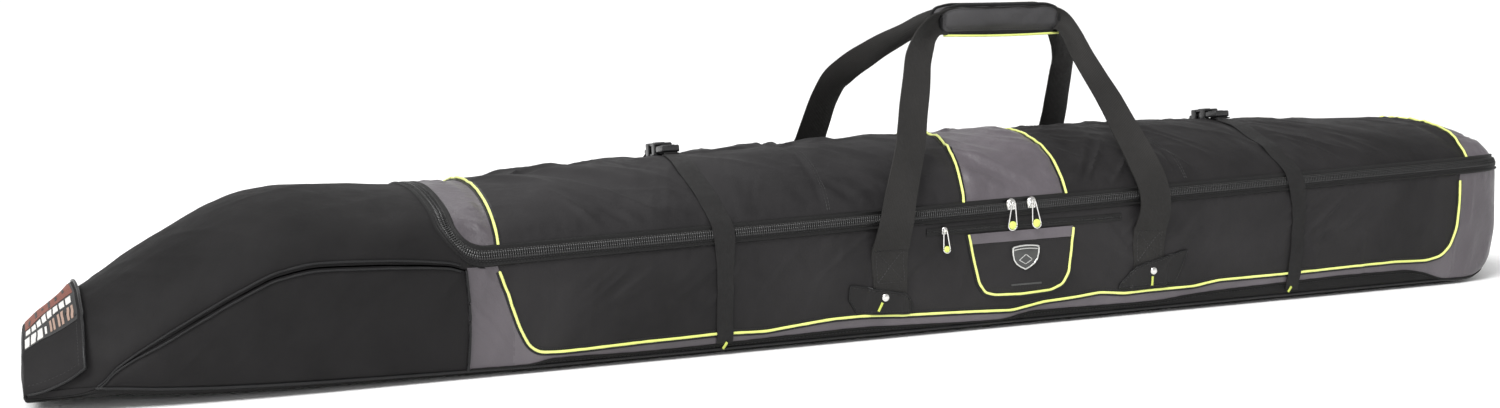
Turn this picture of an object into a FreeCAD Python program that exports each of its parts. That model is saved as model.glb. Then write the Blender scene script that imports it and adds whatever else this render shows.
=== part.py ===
import FreeCAD, Part
import Sketcher
import math
import os
from FreeCAD import Vector as V

# Soft ski bag: a long padded tub with a zipped lid that folds back about its rear edge,
# two webbing carry handles joined by a padded grip, two compression straps with
# side-release buckles, a zipped front pocket and a folded, hook-and-loop nose flap.
# Working frame: X along the bag, nose at -X and tail at +X, -Y the front side, +Z up.
os.makedirs("parts", exist_ok=True)
doc = FreeCAD.newDocument("ski_bag")

DIMS = [
    ("bag_shift", 10), ("half_width", 142), ("corner_radius", 14), ("crown_power", 2.4),
    ("seam_height", 126.9), ("seam_slope", 0.0215), ("split_above_seam", 15), ("split_gap", 1.2),
    ("fabric_thick", 1.2), ("foam_thick", 5), ("foam_gap", 0.2), ("tape_height", 27),
    ("chain_proud", 2.2), ("chain_half", 4.4), ("piping_width", 3.4), ("piping_proud", 2.6),
    ("base_foam_length", 1340), ("base_foam_width", 250), ("base_foam_thick", 5),
    ("strap_width", 25.4), ("strap_thick", 1.6), ("strap_one_x", -218), ("strap_two_x", 571),
    ("handle_width", 42), ("handle_thick", 2.2), ("anchor_top", 107), ("anchor_bottom", 30),
    ("anchor_left_x", -8), ("anchor_right_x", 352), ("rear_left_x", 0), ("rear_right_x", 368),
    ("rivet_radius", 6), ("rivet_dome", 2.4), ("rivet_shank", 1.9), ("rivet_left_z", 49), ("rivet_right_z", 53),
    ("grip_length", 175), ("grip_left", 129.5), ("grip_low", 338), ("grip_tall", 40), ("grip_half_depth", 18),
    ("grip_round", 7), ("grip_slot_tall", 34.4), ("grip_slot_depth", 2.8), ("grip_gap", 0.3),
    ("slider_width", 8), ("slider_tall", 13), ("slider_thick", 4.7), ("ear_thick", 1), ("pin_radius", 0.5), ("pin_clear", 0.15),
    ("puller_length", 34), ("puller_width", 5), ("puller_thick", 2.2), ("puller_tab", 5.2),
    ("pocket_puller_length", 26), ("pocket_puller_width", 4), ("pocket_puller_thick", 1.8), ("pocket_puller_tab", 4.2),
    ("pocket_slider_width", 6), ("pocket_slider_tall", 8), ("pocket_slider_thick", 2.4),
    ("main_left_x", 153), ("main_right_x", 181), ("pocket_slider_x", 63),
    ("buckle_width", 34), ("buckle_length", 30), ("buckle_tall", 11), ("buckle_wall", 2),
    ("male_length", 22), ("male_width", 32), ("prong_length", 17), ("prong_width", 6), ("buckle_tilt", 3.5),
    ("tape_rest", 116.5), ("tape_tall", 10.5), ("pocket_left", 96), ("pocket_right", 241),
    ("badge_thick", 1.5), ("flap_thick", 2.4),
]
sheet = doc.addObject("Spreadsheet::Sheet", "dims")
for row, (alias, value) in enumerate(DIMS, 1):
    sheet.set("A%d" % row, alias)
    sheet.set("B%d" % row, repr(float(value)))
    sheet.setAlias("B%d" % row, alias)
doc.recompute()


def g(alias):
    return float(getattr(sheet, alias))


SHIFT = g("bag_shift")
W, R, N = g("half_width"), g("corner_radius"), g("crown_power")
FAB = g("fabric_thick")
FOAM_OUT = FAB + g("foam_gap")
FOAM_IN = FOAM_OUT + g("foam_thick")
parts = []


def keep(obj, name, place=None):
    obj.Label = name
    p = place or FreeCAD.Placement()
    obj.Placement = FreeCAD.Placement(V(SHIFT, 0, 0), FreeCAD.Rotation()).multiply(p)
    parts.append(obj)
    return obj


def feature(name, shapes):
    solids = shapes if isinstance(shapes, list) else [shapes]
    f = doc.addObject("Part::Feature", name)
    f.Shape = solids[0] if len(solids) == 1 else Part.makeCompound(solids)
    return keep(f, name)


def table(rows, x):
    if x <= rows[0][0]:
        return rows[0][1]
    for (a, p), (b, q) in zip(rows, rows[1:]):
        if x <= b:
            return p + (q - p) * (x - a) / (b - a)
    return rows[-1][1]


# crown height along the bag, nose seam height, half width and underside height
TOP = [(-942, 60), (-920, 78), (-900, 92), (-860, 112), (-820, 138), (-780, 159), (-740, 179), (-700, 192), (-660, 196),
       (-600, 193), (-528, 189), (-505, 190), (-440, 195.5), (-340, 201), (-218, 206.5), (-80, 213), (80, 217.6), (228, 219),
       (400, 221), (571, 217.8), (720, 214), (800, 210.6), (848, 208.6), (880, 206), (900, 202), (915, 195), (926, 185), (932, 173)]
SEAM = [(-942, 14), (-920, 15), (-900, 17), (-878, 23), (-860, 40), (-845, 50), (-820, 64), (-780, 86), (-740, 107), (-700, 124), (-660, 130),
        (-600, 128), (-528, 122), (-505, 116.04)]
WIDE = [(-942, 104), (-920, 112), (-900, 119), (-878, 126), (-820, 134), (-760, 138), (-700, 141), (-640, 142), (848, 142), (880, 141), (900, 138.5), (915, 133), (926, 124), (932, 112)]
LOW = [(-942, 8), (-878, 13.5), (-820, 9), (-760, 3), (-700, 0), (848, 0), (880, 2), (900, 8), (915, 18), (926, 32), (932, 48)]
ROUND = [(-942, 34), (-820, 34), (-700, 28), (-528, 15), (-505, 14), (932, 14)]
NOSE = [-942, -920, -900, -878, -860, -845, -820, -780, -740, -700, -660, -600, -528]
BODY = [-505, -478, -440, -340, -218, -80, 82, 228, 400, 571, 720, 848, 880, 900, 915, 926, 932]


def seam(x):
    return table(SEAM, x) if x < -505 else g("seam_height") + g("seam_slope") * x


def wide(x):
    return table(WIDE, x) * W / 142.0


def low(x):
    return table(LOW, x)


def crown(x):
    return table(TOP, x)


def crown_y(x, z):
    return wide(x) * max(0.0, 1 - (max(0.0, z - seam(x)) / (crown(x) - seam(x))) ** N) ** (1 / N)


def arc_from(x, z_start, count):
    h, tall, w = seam(x), crown(x) - seam(x), wide(x)
    t0 = math.asin(min(1, ((z_start - h) / tall) ** (N / 2)))
    out = []
    for k in range(1, count + 1):
        t = t0 + (math.pi / 2 - t0) * k / count
        out.append((-w * max(0.0, math.cos(t)) ** (2 / N) if k < count else 0.0, h + tall * math.sin(t) ** (2 / N)))
    return out


def corner(x):
    w, z0 = wide(x), low(x)
    r = min(table(ROUND, x) * R / 14.0, (seam(x) - z0) * 0.45)
    return [(0.0, z0), (-(w - r), z0), (-(w - 0.293 * r), z0 + 0.293 * r), (-w, z0 + r)]


def body_half(x):
    # 0..3 underside and corner, 4 strip line, 5 front seam, 6 foam top, 7 lower split edge, 8 upper split edge, 9 lid panel edge, then the crown
    w, h = wide(x), seam(x)
    c = corner(x)
    lip, half = g("split_above_seam"), g("split_gap") / 2
    z9 = h + min(g("tape_height"), 0.8 * (crown(x) - h))
    pts = c + [(-w, c[3][1] + 16), (-w, h)]
    pts += [(-crown_y(x, z), z) for z in (h + 3, h + lip - half, h + lip + half, z9)]
    return pts + arc_from(x, z9, 8)


def nose_half(x):
    return corner(x) + [(-wide(x), seam(x))] + arc_from(x, seam(x), 10)


def ring(half, off):
    # half outline pushed outward by off, with mitred corners
    full = [(-half[1][0], half[1][1])] + half + [(-half[-2][0], half[-2][1])]
    out = []
    for k in range(1, len(full) - 1):
        (ay, az), (by, bz), (cy, cz) = full[k - 1], full[k], full[k + 1]
        d1, d2 = math.hypot(by - ay, bz - az), math.hypot(cy - by, cz - bz)
        n1 = ((-(bz - az)) / d1, (by - ay) / d1)
        n2 = ((-(cz - bz)) / d2, (cy - by) / d2)
        m = (n1[0] + n2[0], n1[1] + n2[1])
        s = 2.0 / max(1.0, m[0] ** 2 + m[1] ** 2)
        out.append((by + off * m[0] * s, bz + off * m[1] * s))
    return out


def loft(xs, polygon):
    wires = []
    for x in xs:
        pts = [V(x, y, z) for y, z in polygon(x)]
        wires.append(Part.makePolygon(pts + [pts[0]]))
    s = Part.makeLoft(wires, True, True)
    if s.Volume < 0:
        s.reverse()
    return s


def between(xs, a, b):
    return [a] + [x for x in xs if a + 1 < x < b - 1] + [b]


def mirror(shape):
    m = shape.mirror(V(0, 0, 0), V(0, 1, 0))
    return m


def side(xs, half, i, j, out, inn):
    def poly(x):
        a, b = ring(half(x), out), ring(half(x), inn)
        return a[i:j + 1] + b[i:j + 1][::-1]
    return loft(xs, poly)


def arch(xs, half, i, j, out, inn):
    # from index i on the front, over the crown, to index j on the rear
    def poly(x):
        a, b = ring(half(x), out), ring(half(x), inn)
        over = lambda r: r[i:] + [(-y, z) for y, z in r[j:-1][::-1]]
        return over(a) + over(b)[::-1]
    return loft(xs, poly)


def plate(points, y0, y1):
    # flat piece cut to an X-Z outline, from y0 to y1
    w = [V(x, y0, z) for x, z in points]
    return Part.Face(Part.makePolygon(w + [w[0]])).extrude(V(0, y1 - y0, 0))


def ribbon(points, width, y0, y1):
    left, right = [], []
    for k, (x, z) in enumerate(points):
        ax, az = points[max(0, k - 1)]
        bx, bz = points[min(len(points) - 1, k + 1)]
        d = math.hypot(bx - ax, bz - az)
        nx, nz = -(bz - az) / d * width / 2, (bx - ax) / d * width / 2
        left.append((x + nx, z + nz))
        right.append((x - nx, z - nz))
    return plate(left + right[::-1], y0, y1)


def hole(shape, x, z, r, y0, y1):
    return shape.cut(Part.makeCylinder(r, abs(y1 - y0), V(x, min(y0, y1), z), V(0, 1, 0)))


# ---- tub: base, walls, nose and tail ----
def base_poly(x):
    a, b = ring(corner(x) + [(-wide(x), seam(x))], 0), ring(corner(x) + [(-wide(x), seam(x))], -FAB)
    over = lambda r: [(-y, z) for y, z in r[1:4][::-1]] + r[1:4]
    return over(a) + over(b)[::-1]


feature("base_panel", loft(NOSE + BODY, base_poly))
foam = doc.addObject("Part::Box", "base_foam")
foam.setExpression("Length", "dims.base_foam_length")
foam.setExpression("Width", "dims.base_foam_width")
foam.setExpression("Height", "dims.base_foam_thick")
doc.recompute()
keep(foam, "base_foam", FreeCAD.Placement(V(-500, -g("base_foam_width") / 2, FOAM_OUT), FreeCAD.Rotation()))

RIVETS = [(g("anchor_left_x") - 6, g("rivet_left_z"), -1), (g("anchor_right_x") + 6, g("rivet_right_z"), -1),
          (g("rear_left_x"), g("rivet_left_z"), 1), (g("rear_right_x"), g("rivet_right_z"), 1)]


def pierce(shape, sign, y0, y1):
    for x, z, s in RIVETS:
        if s == sign:
            shape = hole(shape, x, z, g("rivet_shank") + 0.1, y0, y1)
    return shape


X_LEFT, X_RIGHT = -457, 845
front = side(between(BODY, X_LEFT, X_RIGHT), body_half, 4, 5, 0, -FAB)
feature("front_wall_panel", pierce(front, -1, -150, -130))
feature("front_accent_strip", side(between(BODY, X_LEFT, X_RIGHT), body_half, 3, 4, 0, -FAB))
feature("front_accent_left", side(between(BODY, -505, X_LEFT), body_half, 3, 5, 0, -FAB))
feature("front_accent_right", side(between(BODY, X_RIGHT, 932), body_half, 3, 5, 0, -FAB))
rear = mirror(side(between(BODY, -505, 932), body_half, 3, 7, 0, -FAB))
feature("rear_wall_panel", pierce(rear, 1, 130, 150))
sheet_foam = side(between(BODY, -505, 880), body_half, 3, 6, -FOAM_OUT, -FOAM_IN)
feature("side_foam", [sheet_foam, mirror(sheet_foam)])

nose_xs = NOSE + [-505]
nose_side = loft(nose_xs, lambda x: [(-wide(x), corner(x)[3][1] + 0.4), (-wide(x), seam(x) - 0.4),
                                     (-wide(x) + FAB, seam(x) - 0.4), (-wide(x) + FAB, corner(x)[3][1] + 0.4)])
feature("nose_front_panel", nose_side)
feature("nose_rear_panel", mirror(nose_side))
feature("nose_top_panel", arch(NOSE, nose_half, 4, 4, 0, -FAB))


def end_plate(x0, x1, pts):
    w = [V(x0, y, z) for y, z in pts]
    return Part.Face(Part.makePolygon(w + [w[0]])).extrude(V(x1 - x0, 0, 0))


tip = nose_half(-942)
feature("nose_tip_panel", end_plate(-942, -942 - FAB, tip[1:] + [(-y, z) for y, z in tip[1:-1][::-1]]))
tail = body_half(932)
feature("tail_panel", end_plate(932, 932 + FAB, tail[1:6] + [(-y, z) for y, z in tail[1:6][::-1]]))

pipe = g("piping_width")
seam_front = loft([-876] + NOSE[4:-1] + [-535], lambda x: [(-wide(x) - 0.1, seam(x) - pipe / 2), (-wide(x) - 0.1, seam(x) + pipe / 2),
                                                              (-wide(x) - 2.6, seam(x) + pipe / 2), (-wide(x) - 2.6, seam(x) - pipe / 2)])
feature("nose_seam_piping", [seam_front, mirror(seam_front)])
edge = ribbon([(-500, 11.4), (845, 11.4)], pipe, -W - 0.1, -W - 2.6)
feature("base_piping", [edge, mirror(edge)])
LIME = [(-473, 112), (-463, 83), (-452, 50), (-442, 30), (-431, 22), (-407, 20.5), (-376, 21), (-308, 23), (-225, 24), (-164, 22),
        (-120, 26), (-80, 29), (-37, 29), (7, 26), (93, 23), (158, 20), (202, 27), (247, 29), (282, 32), (317, 28), (357, 29),
        (422, 29), (456, 34), (562, 34), (687, 36), (740, 37), (795, 35), (817, 39), (833, 52), (842, 75), (848, 118), (847, 138)]


def lift(points, gap, low_x, high_x):
    # the piping stops at each side of a webbing that crosses it
    out = [(x, z) for x, z in points if low_x <= x <= high_x]
    return [(low_x, table(points, low_x))] * (out[0][0] > low_x) + out + [(high_x, table(points, high_x))] * (out[-1][0] < high_x)


s1, s2, half_strap = g("strap_one_x"), g("strap_two_x"), g("strap_width") / 2 + 1
head = [p for p in LIME if p[0] < -400]
tailp = [p for p in LIME if p[0] > 800]
run = [p for p in LIME if -450 < p[0] < 815]
feature("front_piping", [
    ribbon([p for p in LIME if p[0] < s1 - half_strap] + [(s1 - half_strap, table(run, s1 - half_strap))], pipe, -W - 0.1, -W - 2.6),
    ribbon(lift(run, 0, s1 + half_strap, s2 - half_strap), pipe, -W - 0.1, -W - 1.2 - 1.4),
    ribbon([(s2 + half_strap, table(run, s2 + half_strap))] + [p for p in LIME if p[0] > s2 + half_strap], pipe, -W - 0.1, -W - 2.6)])

# ---- zip: tapes and chains on the front, across the nose end and round the tail ----
lip, hg = g("split_above_seam"), g("split_gap") / 2
cp, ch = g("chain_proud"), g("chain_half")
ZX = [-515.5] + BODY
TUBX = [-518.5] + BODY


def zpoly(lo, hi, out, inn):
    def poly(x):
        zs = [seam(x) + lo + (hi - lo) * k / 2 for k in range(3)]
        top = seam(x) + 0.9 * (crown(x) - seam(x))
        zs = [min(z, top) for z in zs]
        return [(-crown_y(x, z) - out, z) for z in zs] + [(-crown_y(x, z) + inn, z) for z in zs[::-1]]
    return poly


def tail_strip(lo, hi, x0, x1, shrink=0.0):
    h = seam(932)
    y0, y1 = crown_y(932, h + lo) - shrink, crown_y(932, h + hi) - shrink
    return end_plate(x0, x1, [(-y0, h + lo), (y0, h + lo), (y1, h + hi), (-y1, h + hi)])


def cross(x0, x1, out, inn, low_front, low_rear):
    # arch strip over the crown between two stations next to the nose
    def poly(x):
        zf, zr = seam(x) + low_front, seam(x) + low_rear
        a = [(-crown_y(x, zf), zf)] + arc_from(x, seam(x) + 27, 8)
        b = [(-y, z) for y, z in arc_from(x, seam(x) + 27, 8)[:-1][::-1]] + [(crown_y(x, zr), zr)]
        pts = a + b
        res_o, res_i = [], []
        for k, (y, z) in enumerate(pts):
            py, pz = pts[max(0, k - 1)]
            ny, nz = pts[min(len(pts) - 1, k + 1)]
            d = math.hypot(ny - py, nz - pz)
            n = (-(nz - pz) / d, (ny - py) / d)
            res_o.append((y + out * n[0], z + out * n[1]))
            res_i.append((y + inn * n[0], z + inn * n[1]))
        return res_o + res_i[::-1]
    return loft([x0, x1], poly)


feature("zipper_tape_lower", [loft([-505] + BODY[1:], zpoly(0, lip - hg, 0, 1.0)), tail_strip(0, lip - hg, 932, 933),
                              cross(-528, -518.5, 0, -1.0, 8, 8)])
feature("zipper_chain_lower", [loft([-505] + BODY[1:], zpoly(lip - hg - ch, lip - hg, cp, -0.15)),
                               tail_strip(lip - hg - ch, lip - hg, 933.05, 933.05 + cp),
                               cross(-518.5 - ch, -518.5, cp, 0.15, 8, 8)])
upper_top = g("tape_height")


def upper_tape(x):
    z8 = seam(x) + lip + hg
    z9 = body_half(x)[9][1] - 0.8
    zs = [z8, (z8 + z9) / 2, z9]
    return [(-crown_y(x, z), z) for z in zs] + [(-crown_y(x, z) + 1.0, z) for z in zs[::-1]]


feature("zipper_tape_upper", [loft(BODY, upper_tape), cross(-515.5, -505, 0, -1.0, 20, lip + hg + 2)])
feature("zipper_chain_upper", [loft(BODY, zpoly(lip + hg, lip + hg + ch, cp, -0.15)),
                               tail_strip(lip + hg, lip + hg + ch, 933.25, 933.05 + cp),
                               cross(-515.5, -515.5 + ch, cp, 0.15, 20, lip + hg + 2)])

# ---- lid ----
LID = {"lid_accent_left": (-505, -478), "lid_panel_left": (-478, 82), "lid_accent_center": (82, 228),
       "lid_panel_right": (228, 848), "lid_accent_right": (848, 932)}
lid_end = body_half(932)[8:]
lid_end_plate = end_plate(932, 932 + FAB, lid_end + [(-y, z) for y, z in lid_end[:-1][::-1]])
for name, (a, b) in LID.items():
    shell = arch(between(BODY, a, b), body_half, 9, 8, 0, -FAB)
    feature(name, [shell, lid_end_plate] if b == 932 else shell)
feature("lid_foam", arch(between(BODY, -505, 900), body_half, 9, 9, -FOAM_OUT, -FOAM_IN))
pp = g("piping_proud")
feature("lid_piping", [arch([x - pipe / 2, x + pipe / 2], body_half, 10, 10, pp, 0.1) for x in (-478, 82, 228, 848)])

# ---- compression straps ----
sw, st = g("strap_width"), g("strap_thick")


def strap(xc, y_stop, sign, chain=True):
    def poly(x):
        half = body_half(x)
        lift_by = {3: 0.5, 4: 0.5, 5: 1.4, 6: 2.9, 7: 3.1, 8: 3.6, 9: 1.4} if chain else {}
        inner, outer = [], []
        for k in range(3, len(half)):
            o = lift_by.get(k, 1.2 if not chain else 0.6)
            p, q = ring(half, o)[k], ring(half, o + st)[k]
            if abs(p[0]) < y_stop:
                break
            inner.append(p)
            outer.append(q)
        k0 = 3 + len(inner)
        o = 0.6 if chain else 1.2
        for dst, off in ((inner, o), (outer, o + st)):
            a, b = ring(half, off)[k0 - 1], ring(half, off)[k0]
            t = (a[0] + y_stop) / (a[0] - b[0]) if a[0] != b[0] else 0
            dst.append((a[0] + (b[0] - a[0]) * t, a[1] + (b[1] - a[1]) * t))
        return inner + outer[::-1]
    s = loft([xc - sw / 2, xc + sw / 2], poly)
    return s if sign < 0 else mirror(s)


for n, xc in ((1, s1), (2, s2)):
    feature("compression_strap_front_%d" % n, strap(xc, 1.5, -1))
    feature("compression_strap_rear_%d" % n, strap(xc, 57, 1, False))

# ---- side-release buckles on the crown of the lid ----
bw, bl, bt, wall = g("buckle_width"), g("buckle_length"), g("buckle_tall"), g("buckle_wall")


def box(name, exprs, pos):
    b = doc.addObject("Part::Box", name)
    for prop, e in zip(("Length", "Width", "Height"), exprs):
        b.setExpression(prop, e)
    b.Placement = FreeCAD.Placement(pos, FreeCAD.Rotation())
    return b


def fuse(name, items):
    f = doc.addObject("Part::MultiFuse", name)
    f.Shapes = items
    return f


for n, xc in ((1, s1), (2, s2)):
    tilt = FreeCAD.Rotation(V(1, 0, 0), -g("buckle_tilt"))
    place = FreeCAD.Placement(V(xc, 2, crown(xc) + 2.2), tilt)
    outer = box("female_body_%d" % n, ("dims.buckle_width", "dims.buckle_length", "dims.buckle_tall"), V(-bw / 2, 24, 0))
    cave = box("female_cavity_%d" % n, ("dims.buckle_width-2*dims.buckle_wall", "dims.buckle_length-dims.buckle_wall", "dims.buckle_tall-2*dims.buckle_wall"),
               V(-bw / 2 + wall, 23.5, wall))
    win = box("female_windows_%d" % n, ("dims.buckle_width+4", "dims.prong_length*0.5", "dims.buckle_tall-2*dims.buckle_wall"), V(-bw / 2 - 2, 34, wall))
    c1 = doc.addObject("Part::Cut", "female_cut_%d" % n)
    c1.Base, c1.Tool = outer, cave
    c2 = doc.addObject("Part::Cut", "buckle_female_%d_shape" % n)
    c2.Base, c2.Tool = c1, win
    doc.recompute()
    keep(c2, "buckle_female_%d" % n, place)
    plate_m = box("male_plate_%d" % n, ("dims.male_width", "dims.male_length", "dims.buckle_tall-2*dims.buckle_wall-1"), V(-g("male_width") / 2, 0.5, wall + 0.5))
    left = box("male_prong_left_%d" % n, ("dims.prong_width", "dims.prong_length+1", "dims.buckle_tall-2*dims.buckle_wall-1"), V(-bw / 2 + wall + 0.5, 21.5, wall + 0.5))
    right = box("male_prong_right_%d" % n, ("dims.prong_width", "dims.prong_length+1", "dims.buckle_tall-2*dims.buckle_wall-1"),
                V(bw / 2 - wall - 0.5 - g("prong_width"), 21.5, wall + 0.5))
    tongue = box("male_tongue_%d" % n, ("dims.prong_width", "dims.prong_length", "3"), V(-g("prong_width") / 2, 21.5, wall + 1.5))
    male = fuse("male_fuse_%d" % n, [plate_m, left, right, tongue])
    slot = box("male_slot_%d" % n, ("dims.strap_width+1", "4", "dims.buckle_tall"), V(-(sw + 1) / 2, 5, 0))
    cm = doc.addObject("Part::Cut", "buckle_male_%d_shape" % n)
    cm.Base, cm.Tool = male, slot
    doc.recompute()
    keep(cm, "buckle_male_%d" % n, place)

# ---- pocket ----
PL, PR = g("pocket_left"), g("pocket_right")
POCKET = [(PL, 114), (104, 81), (111, 56), (120, 44), (133, 40.5), (169, 39), (211, 41), (227, 47), (235, 60), (239, 86), (PR, 114)]
panel = [(PL + 5.5, 101.8), (107.5, 83), (114, 58), (122, 48), (134, 44), (169, 43), (210, 45), (224, 50), (231, 61), (235, 86), (PR - 4, 101.8)]
feature("pocket_panel", plate(panel, -W - 0.1, -W - 1.3))
feature("pocket_accent", plate([(PL + 2.2, 114.5), (PL + 5.4, 102.2), (PR - 3.8, 102.2), (PR - 2, 114.5)], -W - 0.1, -W - 1.3))
feature("pocket_piping", ribbon(POCKET, 3.0, -W - 0.1, -W - 2.6))
tz = g("tape_rest")
feature("pocket_zipper", plate([(40, tz), (311, tz + 1.5), (311, tz + 10.5), (40, tz + 8)], -W - 0.1, -W - 1.1))
feature("pocket_badge", plate([(157, 97), (190, 97), (193.5, 92), (192, 80), (186, 73), (173.5, 68), (161, 73), (155, 80), (153.5, 92)], -W - 1.5, -W - 1.5 - g("badge_thick")))

# ---- handle webbing, its sewn ends, patches, rivets and tacks ----
hw, ht = g("handle_width"), g("handle_thick")
at, ab = g("anchor_top"), g("anchor_bottom")
ANCHORS = [(g("anchor_left_x"), -1), (g("anchor_right_x"), -1), (g("rear_left_x"), 1), (g("rear_right_x"), 1)]
for nm, sign in (("front", -1), ("rear", 1)):
    ends = []
    for xc, s in ANCHORS:
        if s == sign:
            b = plate([(xc - hw / 2, ab), (xc + hw / 2, ab), (xc + hw / 2, at), (xc - hw / 2, at)], s * (W + 0.15), s * (W + 0.15 + ht))
            ends.append(pierce(b, sign, s * (W - 1), s * (W + 5)))
    if sign < 0:
        # the pocket zip and the lime line pass under the webbing's lower part
        ends = [e.cut(plate([(-60, 24), (420, 24), (420, 36.5), (-60, 36.5)], -W, -W - 2.75)) for e in ends]
    else:
        ends = [e for e in ends]
    feature("handle_anchor_" + nm, ends)
y_out = W + 0.15 + ht + 0.1
left_patch = [(-57, 39), (-54, 66), (13, 53), (20, 38), (-46, 38)]
left_patch = [(-50, 38.5), (-53, 62), (13, 54), (19, 38.5)]
right_patch = [(322, 38.5), (334, 60), (402, 74), (388, 38.5)]
feature("handle_patches", [pierce(plate(left_patch, -y_out, -y_out - 1), -1, -150, -130), pierce(plate(right_patch, -y_out, -y_out - 1), -1, -150, -130),
                           pierce(plate([(x + 8, z) for x, z in left_patch], y_out, y_out + 1), 1, 130, 150),
                           pierce(plate([(x + 16, z) for x, z in right_patch], y_out, y_out + 1), 1, 130, 150)])
rr_, dome = g("rivet_radius"), g("rivet_dome")
rivets = []
for x, z, s in RIVETS:
    y_face = y_out + 1.1
    shank = Part.makeCylinder(g("rivet_shank"), y_face - (W - FAB), V(0, W - FAB, 0), V(0, 1, 0))
    cap = Part.makeCone(rr_, rr_ * 0.8, dome / 2, V(0, y_face, 0), V(0, 1, 0)).fuse(
        Part.makeCone(rr_ * 0.8, rr_ * 0.35, dome / 2, V(0, y_face + dome / 2, 0), V(0, 1, 0)))
    solid = shank.fuse(cap).removeSplitter()
    if s < 0:
        solid = mirror(solid)
    solid.translate(V(x, 0, z))
    rivets.append(solid)
feature("handle_rivets", rivets)


def tack(x, z, ang, y0, s):
    b = Part.makeBox(2.2, 0.8, 12, V(-1.1, 0, -6))
    b.rotate(V(0, 0, 0), V(0, 1, 0), ang)
    b.translate(V(x, y0 if s > 0 else -y0 - 0.8, z))
    return b


yb, yst = y_out + 1.1, W + 0.5 + st + 0.15
feature("bartacks", [tack(-28, 46, 35, yb, -1), tack(342, 49, 0, yb, -1), tack(-18, 46, 35, yb, 1), tack(352, 49, 0, yb, 1),
                     tack(s1 - 2, 22, 35, yst, -1), tack(s2 - 2, 24, 35, yst, -1), tack(s1 - 2, 22, 35, yst + 0.8, 1), tack(s2 - 2, 24, 35, yst + 0.8, 1)])

gl, gx, gz, gt, gd = g("grip_left"), g("grip_length"), g("grip_low"), g("grip_tall"), g("grip_half_depth")
yc, zc = 7.5, gz + gt / 2
# centre lines of the webbing, from the left stitch line through the grip to the right one: x, depth from the middle, z, width
FRONT = [(-8, 145.8, 107.4, 42), (-8, 149, 113, 42), (-8, 155, 124, 42), (-7, 160, 142, 42), (0, 154, 164, 42), (14, 138, 190, 42), (32, 116, 218, 41),
         (47, 95, 250, 40), (62, 76, 284, 38), (76, 54, 315, 37), (95, 29, 340, 36), (119, yc + 1, zc - 1, 33), (128, yc, zc, 33), (160, yc, zc, 33), (228, yc, zc, 33), (296, yc, zc, 33),
         (312, yc, zc, 33), (317, yc + 1, zc - 1, 33), (320, 24, 342, 36), (328, 44, 314, 37), (338, 64, 285, 38), (347, 86, 255, 40), (354, 108, 227, 41), (357, 132, 197, 41),
         (356, 152, 168, 41), (354, 157, 145, 41), (353, 154, 124, 41), (352, 149, 113, 41), (352, 145.8, 107.4, 41)]
REAR = [(0, 145.8, 107.4, 42), (1, 149, 113, 42), (3, 154, 124, 42), (7, 158, 145, 42), (12, 151, 168, 42), (17, 132, 197, 42), (20, 112, 226, 41), (22, 93, 257, 40),
        (29, 74, 288, 38), (48, 55, 317, 37), (82, 32, 343, 36), (119, yc + 1, zc - 1, 33), (128, yc, zc, 33), (160, yc, zc, 33), (228, yc, zc, 33), (296, yc, zc, 33), (312, yc, zc, 33), (318, yc + 1, zc - 1, 33),
        (334, 22, 342, 36), (351, 44, 317, 37), (364, 68, 290, 38), (373, 92, 258, 40), (380, 112, 226, 41), (381, 132, 197, 41), (377, 151, 168, 41), (372, 158, 145, 41),
        (369, 154, 124, 41), (368, 149, 113, 41), (368, 145.8, 107.4, 41)]


def webbing(path, sign):
    wires = []
    for k, (x, y, z, w) in enumerate(path):
        a = V(*path[max(0, k - 1)][:3])
        b = V(*path[min(len(path) - 1, k + 1)][:3])
        t = (b - a).normalize()
        if k in (0, len(path) - 1):
            t = V(0, 0.0, 1 if k == 0 else -1)
        across = V(t.z, 0, -t.x).normalize()
        thin = t.cross(across).normalize()
        c = V(x, y, z)
        pts = [c + across * (w / 2 * i) + thin * (ht / 2 * j) for i, j in ((-1, -1), (1, -1), (1, 1), (-1, 1))]
        if sign < 0:
            pts = [V(p.x, -p.y, p.z) for p in pts]
        wires.append(Part.makePolygon(pts + [pts[0]]))
    s = Part.makeLoft(wires, True, True)
    if s.Volume < 0:
        s.reverse()
    return s


feature("front_handle_webbing", webbing(FRONT, -1))
feature("rear_handle_webbing", webbing(REAR, 1))
for nm, sign in (("front", -1), ("rear", 1)):
    pad = box("grip_block_" + nm, ("dims.grip_length", "dims.grip_half_depth-dims.grip_gap", "dims.grip_tall"), V(0, 0, 0))
    doc.recompute()
    rnd = doc.addObject("Part::Fillet", "grip_round_" + nm)
    rnd.Base = pad
    outer_y = gd - g("grip_gap") if sign > 0 else 0.0
    ids = []
    for i, e in enumerate(pad.Shape.Edges, 1):
        b = e.BoundBox
        if abs(b.YMin - outer_y) < 1e-6 and abs(b.YMax - outer_y) < 1e-6:
            ids.append((i, g("grip_round"), g("grip_round")))
    rnd.Edges = ids
    doc.recompute()
    slot_y = (yc - g("grip_gap") - 1.4) if sign > 0 else gd - g("grip_gap") - (yc - g("grip_gap")) - 1.4
    slot = box("grip_slot_" + nm, ("dims.grip_length+20", "dims.grip_slot_depth", "dims.grip_slot_tall"), V(-10, slot_y, (gt - g("grip_slot_tall")) / 2))
    cut = doc.addObject("Part::Cut", "grip_pad_%s_shape" % nm)
    cut.Base, cut.Tool = rnd, slot
    doc.recompute()
    keep(cut, "grip_pad_" + nm, FreeCAD.Placement(V(gl, g("grip_gap") if sign > 0 else -gd, gz), FreeCAD.Rotation()))
gp = ribbon([(gl + 10, gz - 1.7), (gl + 60, gz - 1.7), (gl + gx - 10, gz - 1.7)], 3.0, -gd + 3, -gd + 6)
feature("grip_piping", gp)

# ---- zip sliders and pullers ----
sl, stl, stk = g("slider_width"), g("slider_tall"), g("slider_thick")
chain_y = -(W + 2.1)


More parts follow.
